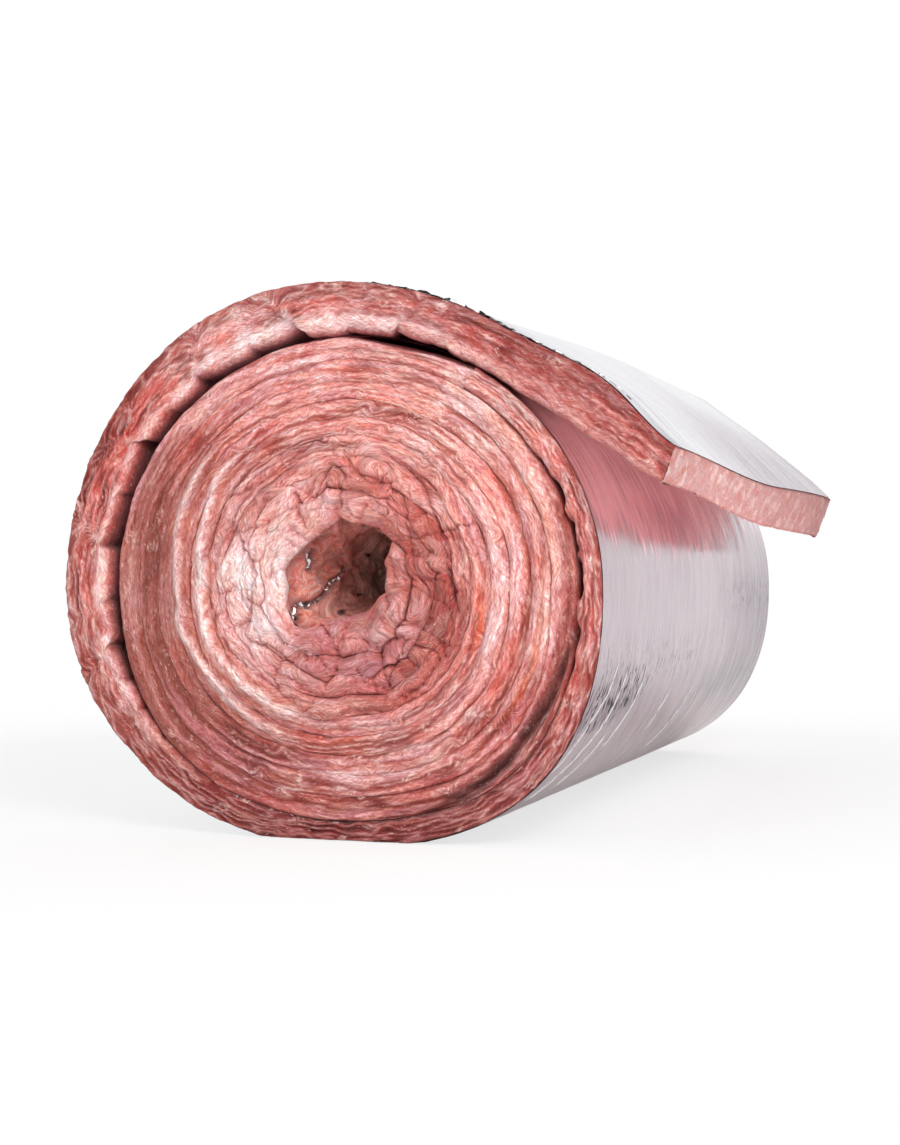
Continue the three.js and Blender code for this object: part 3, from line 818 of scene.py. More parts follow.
def packed_end(piece, near, w_from, w_to, step, columns, seed):
    """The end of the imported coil: a ribbon of wool for each wrap, with deep seams between them."""
    sign, across = (-1, 0.0) if near else (1, 1.0)
    s = even_steps(length_at(w_from), length_at(w_to), step)
    w, _ = wrap_share(s)
    d, sunk = columns_of(columns, 0.5)
    inner, outer, up = section(w, 0.0, across)
    inner = inner + up * seam_shift(w, near)[:, None]
    outer = outer + up * seam_shift(w + 1, near)[:, None]
    loft = np.maximum(np.linalg.norm(outer - inner, axis=1), 0.5)
    S, D, W, _ = lay(s, d)
    R, Q = D * loft[:, None], (1 - D) * loft[:, None]
    core = 1 - smooth(W, 1.5, 5.0)
    angle = angle_of(W)
    # The outer wraps lie smoother on the -X side
    quiet = bell(angle - 194, 46) * smooth(W, 5.2, 6.2) * (1.0 if near else 0.3)
    # How wide the seams on both sides gape, the same from either side of each
    outer_s = length_at(np.clip(W + 1, INNER_END, LIFT_OFF))
    gaping = [np.clip(0.28 + 0.95 * noise(along / 62, 1.5, seed + 2), 0.02, 1.4) for along in (S, outer_s)]
    open_in, open_out = (gape * (1 - 0.6 * quiet) for gape in gaping)
    if near:
        open_out = open_out + 2.4 * second_slit(W + 1, S)
    deep = lerp(10.0, 13.0, core)
    slack = 0.35 + 0.65 * core
    height = -(open_in + 0.22) * deep * (0.45 * np.exp(-R / 1.2) + 0.55 * slack * np.exp(-R / 4.5))
    outer_slope = np.exp(-Q / lerp(5.0, 11.0, core))
    height -= (open_out + 0.22) * deep * (0.3 * np.exp(-Q / 1.5) + 0.7 * slack * outer_slope)
    seams = (R, open_in), (Q, open_out)
    seam_near = largest(*(np.exp(-gap / 1.6) * np.clip(gape, 0.15, 1) for gap, gape in seams))
    cut, cut_near, cut_wide = (NEAR_CREASES if near else FAR_CREASES).cut(S, R)
    height -= cut
    # The crest leans over the seam beside it
    lean = 3.4 * noise(S / 85, 7.7, seed + 10) * np.sin(np.pi * D)
    # The skirt of the first turn keeps out of the way of the bore's own wall
    tucked = 7.0 * (W < 1) * (D == 0) * (sunk[None] > 0)
    # The outermost packed wrap lies back from the slit at the top
    top_gap = between(angle, 52, 64, 80, 92) * (W > 8.5) * near
    gap_wide = lerp(2.5, 5.5, bell(angle - 74, 8))
    drawn_in = top_gap * gap_wide * smooth(D, 0.4, 1.0)
    plane = inner[:, None] + up[:, None] * (R + lean + tucked - drawn_in)[..., None]
    none = np.zeros((3,) + S.shape)
    shift_s, shift_r, curl_height = swirled(plane, up, S, R, seed) if near else none
    crest_height, crest, crest_shade = crest_of(plane) if near else none
    fold_depth, fold_sharp, fold_soft = folds_at(plane) if near else none
    height -= fold_depth
    band_shares = []
    for k, (rise, half_width, _, _, line) in enumerate(BANDS if near else []):
        past, fade, _ = past_line(plane, line, k + 5)
        band_shares.append(fade * bell(past, half_width))
        height += rise * band_shares[-1]
    # Blocks of wool, each with a slope of its own
    calm = bell(angle - 178, 58) * core if near else 0 * S
    blocky = (1 - smooth(W, 2.6, 4.4)) * smooth(R, 0, 6) * (1 - 0.45 * calm) * (0.5 if near else 1.0)
    block_height, block_tone, block_edge = blocks(S, R, seed + 40, 42.0, 25.0)
    height += blocky * (block_height - 3.0 * np.exp(-block_edge / 0.07))
    # Whole wraps stand proud or lie back
    height += lerp(4.0, 8.0, core) * fbm(S / 120, 5.1, seed + 3, 2) + crest_height
    # Lumps and folds of the wool
    warped = S + shift_s + 14 * noise(S / 40, R / 16, seed + 4)
    wavy = R + shift_r + lerp(2.0, 4.0, core) * noise(S / 34, R / 20, seed + 12)
    lumps = lerp(1.6, 4.0, core) * fbm(warped / 24, wavy / 12, seed + 6, 3)
    height += lumps * (1 - 0.4 * quiet) * (1 - 0.35 * calm)
    height += lerp(0.8, 1.4, core) * ridges(warped / 16, wavy / 5, seed + 16) * (1 - 0.6 * calm)
    # Long strata
    strata = ridges(warped / 75, wavy / 5.6, seed + 7)
    height += lerp(1.5, 0.7, core) * strata * (1 - 0.5 * seam_near) * (1 - 0.6 * quiet)
    fold = patchy(S / 70, 8.8, seed + 8, -0.02, 0.25, 2) * (1 - 0.7 * quiet)
    middle = (0.5 + 0.3 * noise(S / 55, 2.2, seed + 9)) * loft[:, None]
    past = R - middle + 2.0 * noise(S / 15, R / 9, seed + 18)
    fold_gap = np.abs(past)
    fold_line = np.exp(-fold_gap / 1.4)
    height -= 5.5 * fold * (0.4 * fold_line + 0.6 * np.exp(-fold_gap / np.where(past > 0, 8.0, 2.5)))
    height -= 18 * top_gap * bell(Q, gap_wide)
    # The mouth of the bore is rounded over
    mouth = (W < 1) * smooth(1 - W, 0.0, 0.12)
    height = lerp(height, height * smooth(R, 0, 10), mouth)
    height -= MOUTH_ROUND * mouth * (1 - np.sqrt(1 - (1 - np.clip(R / MOUTH_ROUND, 0, 1)) ** 2))
    height += curl_height * smooth(R, 0, 8)
    # Pale curls of loose fibre
    patch, hair = noise(S / 26, R / 13, seed + 30), ridges(warped / 7, wavy / 4.5, seed + 31)
    curl = smooth(patch, 0.42, 0.6) * smooth(hair, 0.35, 0.8) * (1 - core)
    height += 1.8 * curl
    points = standing(plane, sign * (HALF - COIL_INSET + height - sunk[None]))
    # Painted shade, dark red: in the seams, creases and folds, between the blocks, and in the gap at the top
    dark = largest(
        seam_near * 0.75,
        cut_near * 0.5,
        fold * fold_line * 0.5,
        0.5 * blocky * np.exp(-block_edge / 0.035),
        1.1 * fold_sharp,
        1.5 * top_gap * bell(Q, 0.8 * gap_wide),
    )
    # Painted shade, reddened: beside the seams, creases, folds and blocks
    reddened_shade = np.maximum(np.exp(-R / 5.0) * open_in, np.exp(-Q / 6.0) * open_out) + 0.7 * cut_wide
    reddened_shade = reddened_shade + 0.5 * fold * np.exp(-fold_gap / 4.0)
    reddened_shade = reddened_shade + 0.8 * blocky * np.exp(-block_edge / 0.13) + 0.4 * fold_soft
    strata = strata * (1 - 0.6 * quiet)
    uneven = 0.8 + 0.5 * noise(S / 21, R / 9, seed + 50)
    tint = washed(
        end_tint(S, W, R, dark, np.clip(reddened_shade, 0, 1), height + fold_depth, strata, core, seed),
        (PALE, 0.6 * curl + 0.35 * blocky * np.maximum(block_tone, 0)),
        (TAN, 0.35 * blocky * np.maximum(-block_tone, 0)),
        # Painted shade beside the ridges on the -X side, and a painted highlight on them
        (lerp(TAN, CORAL, 0.4), 0.8 * crest_shade),
        (linear(255, 222, 220), 0.85 * crest),
        # Browner outer wraps on the -X side: partly the wool's own tone, partly painted shade
        (lerp(TAN, BROWN, 0.5), 0.45 * quiet),
        # The bands' colours: partly painted light and shade, partly the wool's own colour
        *((band[2], band[3] * share * uneven) for share, band in zip(band_shares, BANDS)),
    )
    side = np.where(D < 0.5, -1, 1) * sunk[None]
    uv = np.stack([S + shift_s, R + shift_r + side], -1)
    piece.grid(points, uv, with_alpha(tint, lerp(1.15, 0.35, core) * (1 - 0.4 * quiet)), flip=not near)


def end_tint(S, W, R, dark, reddened_shade, height, strata, core, seed):
    uneven = 1 + 0.7 * noise(S / 50, R / 12, seed + 22)
    whole = noise(S / 130, 0.3, seed + 28)
    band = noise(S / 240, R / 8.0, seed + 27) * (1 - 0.5 * core)
    streak = strata * (1 - 0.6 * core)
    tint = washed(
        SALMON,
        (ROSE, patchy(S / 90, R / 22, seed + 20, -0.2, 0.3, 2)),
        (TAN, 0.9 * patchy(S / 140, R / 26, seed + 21, 0.0, 0.35, 2)),
        (MAUVE, 0.9 * patchy(S / 120, R / 18, seed + 25, 0.05, 0.35, 2)),
        *((colour, weight * nearness(W, *place) * uneven) for colour, *place, weight in ZONES),
        (PALE, 0.6 * smooth(whole, 0.1, 0.6)),
        (TAN, 0.6 * smooth(-whole, 0.1, 0.6)),
        (BROWN, 0.8 * smooth(-band, 0.15, 0.45)),
        (LILAC, 0.7 * smooth(band, 0.15, 0.5)),
        # Paler on the strata's ridges and browner in their hollows: partly the layers' own tone, partly
        # painted light and shade
        (PALE, 0.6 * smooth(streak, 0.3, 0.95)),
        (BROWN, 0.6 * smooth(-streak, -0.3, 0.7) * (1 - 0.6 * core)),
        # Paler where the core stands proud: painted light
        (PALE, 0.35 * core * smooth(height, 0, 8)),
    )
    # Darker and redder where the surface lies low: painted shade in the recesses
    power = lerp(1.45, 0.9, smooth(height, -9, 6))
    tint = np.clip(tint, 0, 1) ** power[..., None]
    # Painted shade: reddened beside the seams and creases, dark red in them
    tint = washed(
        tint,
        (CORAL * np.array([0.95, 0.78, 0.78]), lerp(0.55, 0.68, core) * reddened_shade),
        (DEEP * np.array([1.1, 1.0, 1.0]), lerp(0.7, 0.6, core) * dark),
    )
    return np.clip(shaded(tint, W) * COOLER, 0, 1)


def loose_end(piece, near, step, columns, seed):
    """The end of the last wrap and of the flap: a soft rolled lip on the inside, and strata outside it."""
    sign, across = (-1, 0.0) if near else (1, 1.0)
    s = even_steps(length_at(COIL_END), TOTAL, step)
    w, share = wrap_share(s)
    d, sunk = columns_of(columns, 0.4, hem=(5.0,))
    inner, outer, up = section(w, share, across)
    loft = np.linalg.norm(outer - inner, axis=1)
    S, D, W, F = lay(s, d)
    R = d[None] * loft[:, None]
    Q = loft[:, None] - R
    free = smooth(W, SLIT_TIP - 0.02, SLIT_TIP + 0.06)
    root = smooth(W, wrap_at(75), LIFT_OFF)
    flap = smooth(F, 0.0, 0.3)
    angle = angle_of(W)
    broad = lerp(0.25, 0.38, smooth(-angle, -150, -95)) + 0.2 * fbm(S / 34, 0.5, seed, 3)
    lip_edge = loft[:, None] * broad * (1 - 0.3 * root - 0.35 * flap)
    lip = (1 - smooth(R, lip_edge - 5, lip_edge + 6)) * free
    round_lip = np.sqrt(np.clip(1 - (1 - np.minimum(R / np.maximum(0.6 * lip_edge, 1), 1)) ** 2, 0, 1))
    pillow, (near_crease, notch, pull, tip) = np.ones_like(S), np.zeros((4,) + S.shape)
    for degrees, depth, steep_side in LIP_CREASES:
        at = length_at(wrap_at(degrees))
        past = (S - at + steep_side * 0.6 * R - 5.0 * noise(R / 8, at, seed + 1)) * steep_side
        gap = np.abs(past)
        reach = 1 - smooth(R / np.maximum(lip_edge, 1), 0.35, 1.05)
        sink, slope = np.where(past > 0, 0.15, 0.5), np.exp(-gap / np.where(past > 0, 3.0, 14.0))
        pillow -= sink * slope * reach * depth / 16
        near_crease = np.maximum(near_crease, np.exp(-gap / 2.2) * reach * min(0.6, depth / 16))
        notch += depth * 0.85 * np.exp(-gap / np.where(past > 0, 3.5, 22.0)) * (1 - smooth(D, 0.0, 0.4))
        pull += depth * 0.9 * np.exp(-gap / 11)
        tip += depth / 16 * bell(past - 3, 5) * bell(R - lip_edge - 4, 6)
    height = free * 6.5 * (round_lip - 1)
    height += lip * 3.2 * pillow * (0.6 + 0.7 * noise(S / 28, R / 30, seed + 11))
    height += free * (2.6 * tip - 4.5 * near_crease)
    edge_gap = np.abs(R - lip_edge - 1.5)
    broken = patchy(S / 26, 4.4, seed + 2, -0.2, 0.45)
    height -= 1.8 * np.exp(-edge_gap / 2.0) * free * broken * (1 - 0.7 * flap)
    # Strata, drawn in towards each crease of the lip
    warped = S + 12 * noise(S / 34, R / 14, seed + 4)
    wavy = R + pull * free * (1 - lip) + 3.0 * noise(S / 24, R / 30, seed + 5)
    layers = 1 - lip
    strata = ridges(warped / 44, wavy / 5.4, seed + 6)
    height += layers * 2.5 * strata * (1 - 0.4 * flap)
    height += layers * 2.2 * fbm(warped / 18, wavy / 9, seed + 7, 3) * (1 - 0.4 * flap)
    height += layers * 0.8 * ridges(warped / 9, wavy / 3.4, seed + 17)
    lumps = 1.6 * fbm(warped / 20, R / 14, seed + 8, 3) + 0.7 * ridges(warped / 12, R / 6, seed + 18)
    height += lip * lumps
    patch, hair = noise(S / 24, R / 13, seed + 30), ridges(warped / 7, wavy / 4.5, seed + 31)
    curl = smooth(patch, 0.4, 0.6) * smooth(hair, 0.3, 0.8)
    height += 1.5 * curl * layers
    rim = np.exp(-Q / 2.2)
    height -= 2.0 * rim
    inside = np.exp(-R / lerp(1.8, 3.0, free))
    gape = second_slit(W, S) * near
    height -= lerp(12.0, 8.5, free) * inside + 34 * gape * bell(R, lerp(6.0, 9.0, noise(S / 16, 0.8, 23)))
    wavy_edge = 2.5 * pillow + 2.4 * fbm(S / 26, 0.7, seed + 14, 2)
    bulge = (notch - wavy_edge * (1 - smooth(D, 0.0, 0.4))) * free * (sunk[None] < 50)
    hidden = between(angle, 70, 120, 268, 290) * (F <= 0)
    hem = 0.8 * noise(S / 14, 6.6, seed + 9) * smooth(D, 0.7, 1.0)
    hem = hem + lerp(-0.4, 3.0, hidden) * smooth(D, 0.9, 1.0)
    hem = np.where(sunk[None] > 0, -0.8 * (D > 0.5), hem)
    plane = inner[:, None] + up[:, None] * (R + bulge + hem)[..., None]
    plane[..., 1] = np.maximum(plane[..., 1], WOOL_FLOOR)
    back = sunk[None] == SKIRT[0]
    points = standing(plane, sign * np.where(back, HALF - SKIRT[0], HALF - LOOSE_INSET + height - sunk[None]))
    marks = (lip, near_crease * free, rim, inside, root, flap, strata * layers, tip * free)
    tint = washed(loose_tint(S, W, R, D, marks, height, seed), (PALE, 0.5 * curl * layers))
    skirt_shade = lerp(0.35, 1.0, smooth(W, SLIT_MOUTH, LIFT_OFF))
    tint = tint * np.where((sunk[None] > 0) & (D < 0.5), skirt_shade, 1.0)[..., None]
    side = np.where(D < 0.5, -1, 1) * sunk[None]
    uv = np.stack([S, wavy + side], -1)
    piece.grid(points, uv, with_alpha(tint, lerp(1.3, 0.7, lip)), flip=not near)


def loose_tint(S, W, R, D, marks, height, seed):
    lip, crease, rim, inside, root, flap, strata, tip = marks
    dark_flap = flap * smooth(D, 0.15, 0.7) * patchy(S / 90, R / 10, seed + 24, -0.6, 0.1, 2)
    tint = washed(
        CORAL,
        (ROSE, 0.6 * patchy(S / 40, R / 14, seed + 26, 0.0, 0.5, 2)),
        (BROWN, patchy(S / 60, R / 8, seed + 20, -0.2, 0.4, 3) * (1 - 0.55 * flap)),
        # Mauve and darker where the loose wrap turns under: partly the wool's own mauve, partly painted shade
        (MAUVE, 0.7 * smooth(W, 9.06, 9.2) * (1 - smooth(W, 9.3, 9.4))),
        (lerp(BROWN, DEEP, 0.4), 0.85 * between(W, 9.0, 9.2, 9.36, 9.5)),
        (BROWN, 0.75 * smooth(D, 0.6, 0.95) * (1 - 0.4 * flap)),
        # Paler on the strata's ridges and dark red in their hollows: partly the layers' own tone, partly
        # painted light and shade
        (PALE, lerp(0.4, 0.65, flap) * smooth(strata, 0.35, 0.95)),
        (DEEP, lerp(0.4, 0.55, flap) * smooth(-strata, -0.1, 0.6)),
        (ROSE, 0.9 * lip),
        (PALE, 0.95 * lip * patchy(S / 34, R / 12, seed + 23, -0.6, 0.0, 2)),
        # Reddened where the lip turns into the slit: painted shade
        (CORAL, 0.5 * lip * (1 - smooth(R, 2, 7))),
        # Pale on the raised tips beside the lip's creases: painted highlight
        (PALE, 0.8 * np.clip(tip, 0, 1)),
        (PALE, 0.7 * root * (1 - smooth(D, 0.1, 0.4)) * (1 - smooth(flap, 0.5, 1.0))),
        (lerp(BROWN, DEEP, 0.5), 0.6 * dark_flap),
    )
    # Darker and redder where the surface lies low, less so on the lip: painted shade
    depth_power = lerp(1.35, 0.9, smooth(height, -8, 5))
    tint = np.clip(tint, 0, 1) ** lerp(depth_power, 0.9, 0.85 * lip * smooth(R, 1, 4))[..., None]
    darker = smooth(W, wrap_at(120), wrap_at(80)) * (1 - 0.5 * lip)
    tint = tinged(tint, (0.86, 0.78, 0.80), darker)
    tint = tinged(tint, (0.89, 0.76, 0.74), smooth(W, wrap_at(84), LIFT_OFF))
    # Painted shade, dark red: in the lip's creases, along the outer edge next to the foil and where the wool
    # turns into the slit
    tint = washed(
        tint,
        (DEEP, 0.6 * crease),
        (DEEP, 0.7 * np.maximum(rim * (0.5 + 0.2 * flap), inside)),
    )
    tint = shaded(tint, W) ** lerp(1.0, 1.12, root * (1 - flap))[..., None]
    return np.clip(tint * COOLER, 0, 1)


# Name, function, whether at the near end, then its own values: where it starts and ends, step, columns, seed
WOOL_ENDS = [
    ("wool_core_near_end", packed_end, True, INNER_END, CORE_END, 1.4, 23, 3),
    ("wool_coil_near_end", packed_end, True, CORE_END, COIL_END, 2.0, 15, 3),
    ("wool_coil_far_end", packed_end, False, INNER_END, COIL_END, 4.5, 10, 77),
    ("wool_loose_near_end", loose_end, True, 2.0, 30, 5),
    ("wool_loose_far_end", loose_end, False, 4.5, 16, 91),
]
wool = []
for name, add_end, *values in WOOL_ENDS:
    piece = Piece()
    add_end(piece, *values)
    wool.append(piece.make(name, WOOL))


# ---------------------------------------------------------------- bore, slit and cut end
def band_steps(fine, coarse, reach, start=8):
    """Places across the blanket, fine near the -Y end."""
    near = np.arange(-HALF + start, -HALF + reach, fine)
    rest = np.linspace(-HALF + reach, HALF - start, int((BLANKET_WIDTH - reach) / coarse))
    return np.concatenate([near, rest])


def end_gap(Y):
    """Distance to the nearer end of the roll."""
    return np.minimum(Y + HALF, HALF - Y)


BORE_CELL = 62, 74  # size of the folds in the wall of the bore
# Painted shade of dark hollows in the wall of the bore: way round it, place along it and size
BORE_SPOTS = [(352, -371, 4.5), (238, -464, 4.5), (266, -390, 3.5), (264, -532, 3.0), (251, -557, 3.5)]
# Edges of foil that show between the folds of the bore: way round it and place along it
SLIVERS = [
    [(349, -528), (340, -524), (330, -521), (316, -521)],
    [(321, -438), (310, -452), (298, -464), (288, -470), (276, -482), (268, -503), (263, -522), (257, -536)],
    [(257, -538), (267, -542), (263, -550), (256, -556), (249, -561), (246, -566)],
]
SLIVER_STEP, SLIVER_ROOT, SLIVER_RISE = 1.3, 2.0, 2.7
TURNED_BACK = 9.0  # how far the cut end's outer edge turns back under the foil
TO_MOUTH = np.array([0.3, -0.95, 0.0])  # the way the slivers face


def bore_wall(piece):
    """The inside of the bore: the first turn's inner side, folded and swirled. Gives its points back."""
    y = band_steps(3.2, 14.0, 400, MOUTH_ROUND + 6)
    s = np.linspace(0, length_at(1.0), 210)
    w, _ = wrap_share(s)
    inner, _, up = section(w, 0.0, 0.0)
    S, Y, W, _ = lay(s, y)
    deep = end_gap(Y)
    shift = sum(
        seam_shift(w, near)[:, None] * np.exp(-np.maximum(past - 40, 0) / 60)
        for near, past in ((True, Y + HALF), (False, HALF - Y))
    )
    across, along = (S + 0.5 * Y) / BORE_CELL[0], (Y - 0.4 * S) / BORE_CELL[1]
    bent_s = across + 0.5 * noise(across * 1.1, along * 1.1, 31)
    bent_y = along + 0.5 * noise(across * 1.1 + 7.7, along * 1.1, 36)
    pleats = ridges(bent_s * 3.6, bent_y * 2.4, 34)
    lip = 14.0 * smooth(deep, 60, 130) * patchy(S / 130, Y / 160, 37, -0.5, 0.3)
    bulge = lip + 9.0 * fbm(bent_s, bent_y, 32, 2) + 7.0 * ridges(bent_s * 1.3, bent_y * 1.3, 33)
    bulge += 2.0 * pleats
    # The blanket's start and the end of its first turn stay where they are
    loose_in, loose_out = smooth(W, INNER_END, 0.0), 1 - smooth(W, 0.93, 1.0)
    bulge *= smooth(deep, 26, 60) * loose_in * loose_out
    bulge -= 9.0 * bell(deep - 44, 12) * loose_in * loose_out
    # The wool folds in beside each edge of foil
    gap = np.full_like(S, 99.0)
    for line in SLIVERS:
        share, corners = np.linspace(0, len(line) - 1, 60), np.arange(len(line))
        for at_s, at_y in zip(*(np.interp(share, corners, values) for values in np.array(line, float).T)):
            gap = np.minimum(gap, np.hypot(S - at_s, (Y - at_y) * 0.6))
    bulge -= 3.0 * bell(gap, 4.0) - 3.0 * bell(gap - 9, 5.0)
    plane = inner[:, None] - up[:, None] * (bulge - shift)[..., None]
    # Painted light and shade: bright pink, paler deep in the bore where little light reaches, dark red where
    # the wall is sunk, behind the mouth and beside the foil
    tint = washed(
        linear(255, 146, 132),
        (linear(255, 180, 166), 0.8 * smooth(pleats, 0.1, 0.9)),
        (linear(255, 205, 195), 0.65 * smooth(ridges(bent_s * 8.0, bent_y * 5.5, 37), 0.25, 0.9)),
        (DEEP, 0.5 * smooth(deep, 20, 60) * smooth(-bulge, -7, 2)),
        (DEEP, 0.6 * bell(deep - 36, 12)),
        (linear(255, 200, 188), 0.6 * smooth(deep, 110, 260)),
        (DEEP * 0.5, 0.85 * bell(gap, 4.5)),
    )
    # Painted shade at the dark hollows
    for at_s, at_y, spread in BORE_SPOTS:
        near_spot = bell(np.hypot(S - at_s, (Y - at_y) * 0.45), spread)
        tint = tint * (1 - 0.93 * smooth(near_spot, 0.25, 0.6))[..., None]
    uv = np.stack([bent_s * BORE_CELL[0], bent_y * BORE_CELL[1]], -1)
    points = standing(plane, Y)
    piece.grid(points, uv, with_alpha(tint, 0.35), flip=True)
    return s, y, points


def slit_wall(piece):
    """The inner side of the loose wrap and the underside of the flap."""
    y = band_steps(6.0, 16.0, 150, 66)
    s = np.append(np.arange(length_at(SLIT_TIP), TOTAL, 6.0), TOTAL)
    S, Y, W, F = lay(s, y)
    inner, _, up = section(W, F, Y / BLANKET_WIDTH + 0.5)
    clear = smooth(end_gap(Y), 66, 110)
    swell = 2.5 * fbm(S / 50, Y / 60, 51, 2) * clear * smooth(W, SLIT_TIP, SLIT_TIP + 0.05)
    plane = inner - up * (swell * lerp(1.0, 0.6, F))[..., None]
    tint = washed(
        linear(250, 140, 128),
        (ROSE, patchy(S / 30, Y / 50, 52, -0.2, 0.4, 3)),
        # Pale pink on the flap's underside: painted light, where little light reaches
        (linear(255, 190, 192), smooth(F, 0.0, 0.15)),
    )
    # Darker deeper in the slit: painted shade
    tint = tint * lerp(0.4, 1.0, smooth(W, SLIT_MOUTH, LIFT_OFF))[..., None]
    points = standing(plane, Y)
    piece.grid(points, np.stack([S, Y + 2500], -1), with_alpha(tint, 0.7), flip=True)


def cut_end(piece):
    """The knife-cut end of the flap."""
    y = np.arange(-HALF + LOOSE_INSET, HALF - LOOSE_INSET, 2.6)
    d = np.linspace(0, 1, 26)
    D, Y = np.meshgrid(d, y, indexing="ij")
    inner, outer, up = section(LIFT_OFF, 1.0, Y / BLANKET_WIDTH + 0.5)
    along = np.stack([up[..., 1], -up[..., 0]], -1)
    loft = np.linalg.norm(outer - inner, axis=-1)
    thick = D * loft
    rough = 0.9 * fbm(Y / 9, thick / 8, 61, 3) + 0.6 * ridges(Y / 22, thick / 7, 62)
    rough = rough + 2.0 * fbm(Y / 60, D * 2, 63, 2)
    edge = np.exp(-thick / 2.0) + np.exp(-(loft - thick) / 2.0)
    fringe = (1.8 * noise(Y / 4, 3.3, 65) + 1.6 * noise(Y / 17, 5.3, 67)) * np.exp(-thick / 4.0)
    plane = lerp(inner, outer, D[..., None]) + along * (rough - 2.2 * edge)[..., None]
    plane = plane - up * fringe[..., None]
    tint = washed(
        linear(226, 168, 166),
        (linear(252, 214, 208), patchy(Y / 38, thick / 22, 64, -0.05, 0.3, 3)),
        (linear(224, 134, 124), 0.75 * smooth(-fbm(Y / 28, thick / 16, 68, 3), 0.05, 0.35)),
        (linear(240, 132, 100), 0.8 * patchy(Y / 7, thick / 5, 66, 0.22, 0.45, 2)),
        (CORAL, 0.7 * edge),
    )
    tint = tint * np.array([0.43, 0.345, 0.35])
    share = smooth((Y + HALF) / BLANKET_WIDTH, -0.15, 0.75)
    tint = tint * lerp(np.array([1.25, 1.55, 1.56]), 0.83, share[..., None])
    # Its outer edge turns back under the foil
    under = plane[-1] - along[-1] * TURNED_BACK + up[-1] * 0.4
    plane, tint, Y = (np.concatenate(rows) for rows in ([plane, under[None]], [tint, tint[-1:]], [Y, Y[-1:]]))
    thick = np.concatenate([thick, thick[-1:] + TURNED_BACK])
    uv = np.stack([Y * 1.3, thick * 0.6 + 4000], -1)
    piece.grid(standing(plane, Y), uv, with_alpha(tint, 0.0), flip=True)


walls = Piece()
bore_grid = bore_wall(walls)
slit_wall(walls)
cut_end(walls)
wool.append(walls.make("wool_inner_faces", WOOL))


# ---------------------------------------------------------------- foil facing
# Raised creases low on the +X side: their way down the roll (angle) and place along it
FOIL_RIDGES = [
    [(344, -488), (336, -508), (330, -541), (324, -566), (318, -590)],
    [(341, -436), (334, -452), (328, -470), (323, -500), (316, -532), (309, -566)],
    [(338, -330), (331, -346), (325, -372), (320, -392)],
    [(333, -128), (327, -146), (321, -158)],
    [(332, 34), (326, 20), (320, 4), (312, -14)],
    [(330, 96), (322, 84)],
    [(326, -418), (318, -448), (310, -478)],
]
FOIL_INSET, FOIL_SHORT = 4.5, 2.5  # how far it stops short of the ends of the roll, and of the cut end
FOIL_STEPS = 22, 9, 12  # between its rows: elsewhere, on the +X side and on the free end
FOIL_RIDGE_STEP, FOIL_RIDGE_WIDTH, FOIL_RIDGE_HEIGHT = 2.0, 1.5, 1.3
FOIL_RIDGE_FOOT = 0.4  # how deep the sides of a crease reach into the sheet
# Torn edge of the facing where the free end leaves the coil: place along the roll, first angle, reach past
# where the end lifts off, height
TATTERS = [
    (-595.5, 88, 20, 2.2), (-590, 86, 60, 2.0), (-583, 82, 110, 1.7), (-574, 78, 150, 1.5),
    (-562, 72, 180, 1.2),
]
TATTER_STEP, TATTER_ROOT = 1.3, 0.5
# The foil's colour on top; at the side, at the far end and low down, darker as painted shade and reflection;
# and where it bears a painted reflection of the wool's red
FOIL_TOP, FOIL_SIDE_SHADE = np.array([0.86, 0.90, 0.92]), np.array([0.51, 0.435, 0.465])
FOIL_FAR_SHADE, FOIL_LOW_SHADE = np.array([0.19, 0.13, 0.165]), np.array([0.29, 0.19, 0.205])
FOIL_REFLECTED_RED = np.array([1.0, 0.67, 0.71])


def grid_point(grid, row, column):
    """A point between the points of a grid, at a row and a column that needn't be whole."""
    a, b = np.floor(row).astype(int), np.floor(column).astype(int)
    u, v = (row - a)[:, None], (column - b)[:, None]
    return lerp(lerp(grid[a, b], grid[a, b + 1], v), lerp(grid[a + 1, b], grid[a + 1, b + 1], v), u)


def line_on(surface, at_s, at_y, centre):
    """Points of a line on a surface, and the surface's normals there, pointing to the centre's side."""
    s, y, grid = surface
    i, j = np.interp(at_s, s, np.arange(len(s))), np.interp(at_y, y, np.arange(len(y)))
    i, j = np.clip(i, 0.6, len(s) - 1.6), np.clip(j, 0.6, len(y) - 1.6)
    middle = grid_point(grid, i, j)
    along_s = grid_point(grid, i + 0.5, j) - grid_point(grid, i - 0.5, j)
    along_y = grid_point(grid, i, j + 0.5) - grid_point(grid, i, j - 0.5)
    normal = np.cross(along_s, along_y)
    normal /= np.linalg.norm(normal, axis=1)[:, None]
    to_centre = np.array(centre) - middle
    to_centre[:, 1] = 0
    return middle, normal * np.sign(np.sum(normal * to_centre, axis=1))[:, None]


def steps_along(way_round, along, step):
    """Running length at the corners of a line, and evenly spaced places on it."""
    run = running(np.hypot(np.diff(way_round), np.diff(along)))
    return run, np.linspace(0, run[-1], int(run[-1] / step) + 2)


def tapered(t, begin, end):
    return np.minimum(smooth(t, 0, begin), smooth(t[-1] - t, 0, end))


def ribbon(piece, t, rows, shade, flip=True, axis=2):
    """Adds a strip of three rows of points that bear no marks. Gives back their colour."""
    shape = (len(rows), len(t))
    uv = np.stack([np.broadcast_to(t, shape), np.stack(rows)[..., axis]], -1)
    piece.grid(np.stack(rows), uv, np.zeros(shape + (4,)), flip=flip)
    return np.repeat(np.broadcast_to(shade, shape).reshape(-1)[:, None], 3, 1)


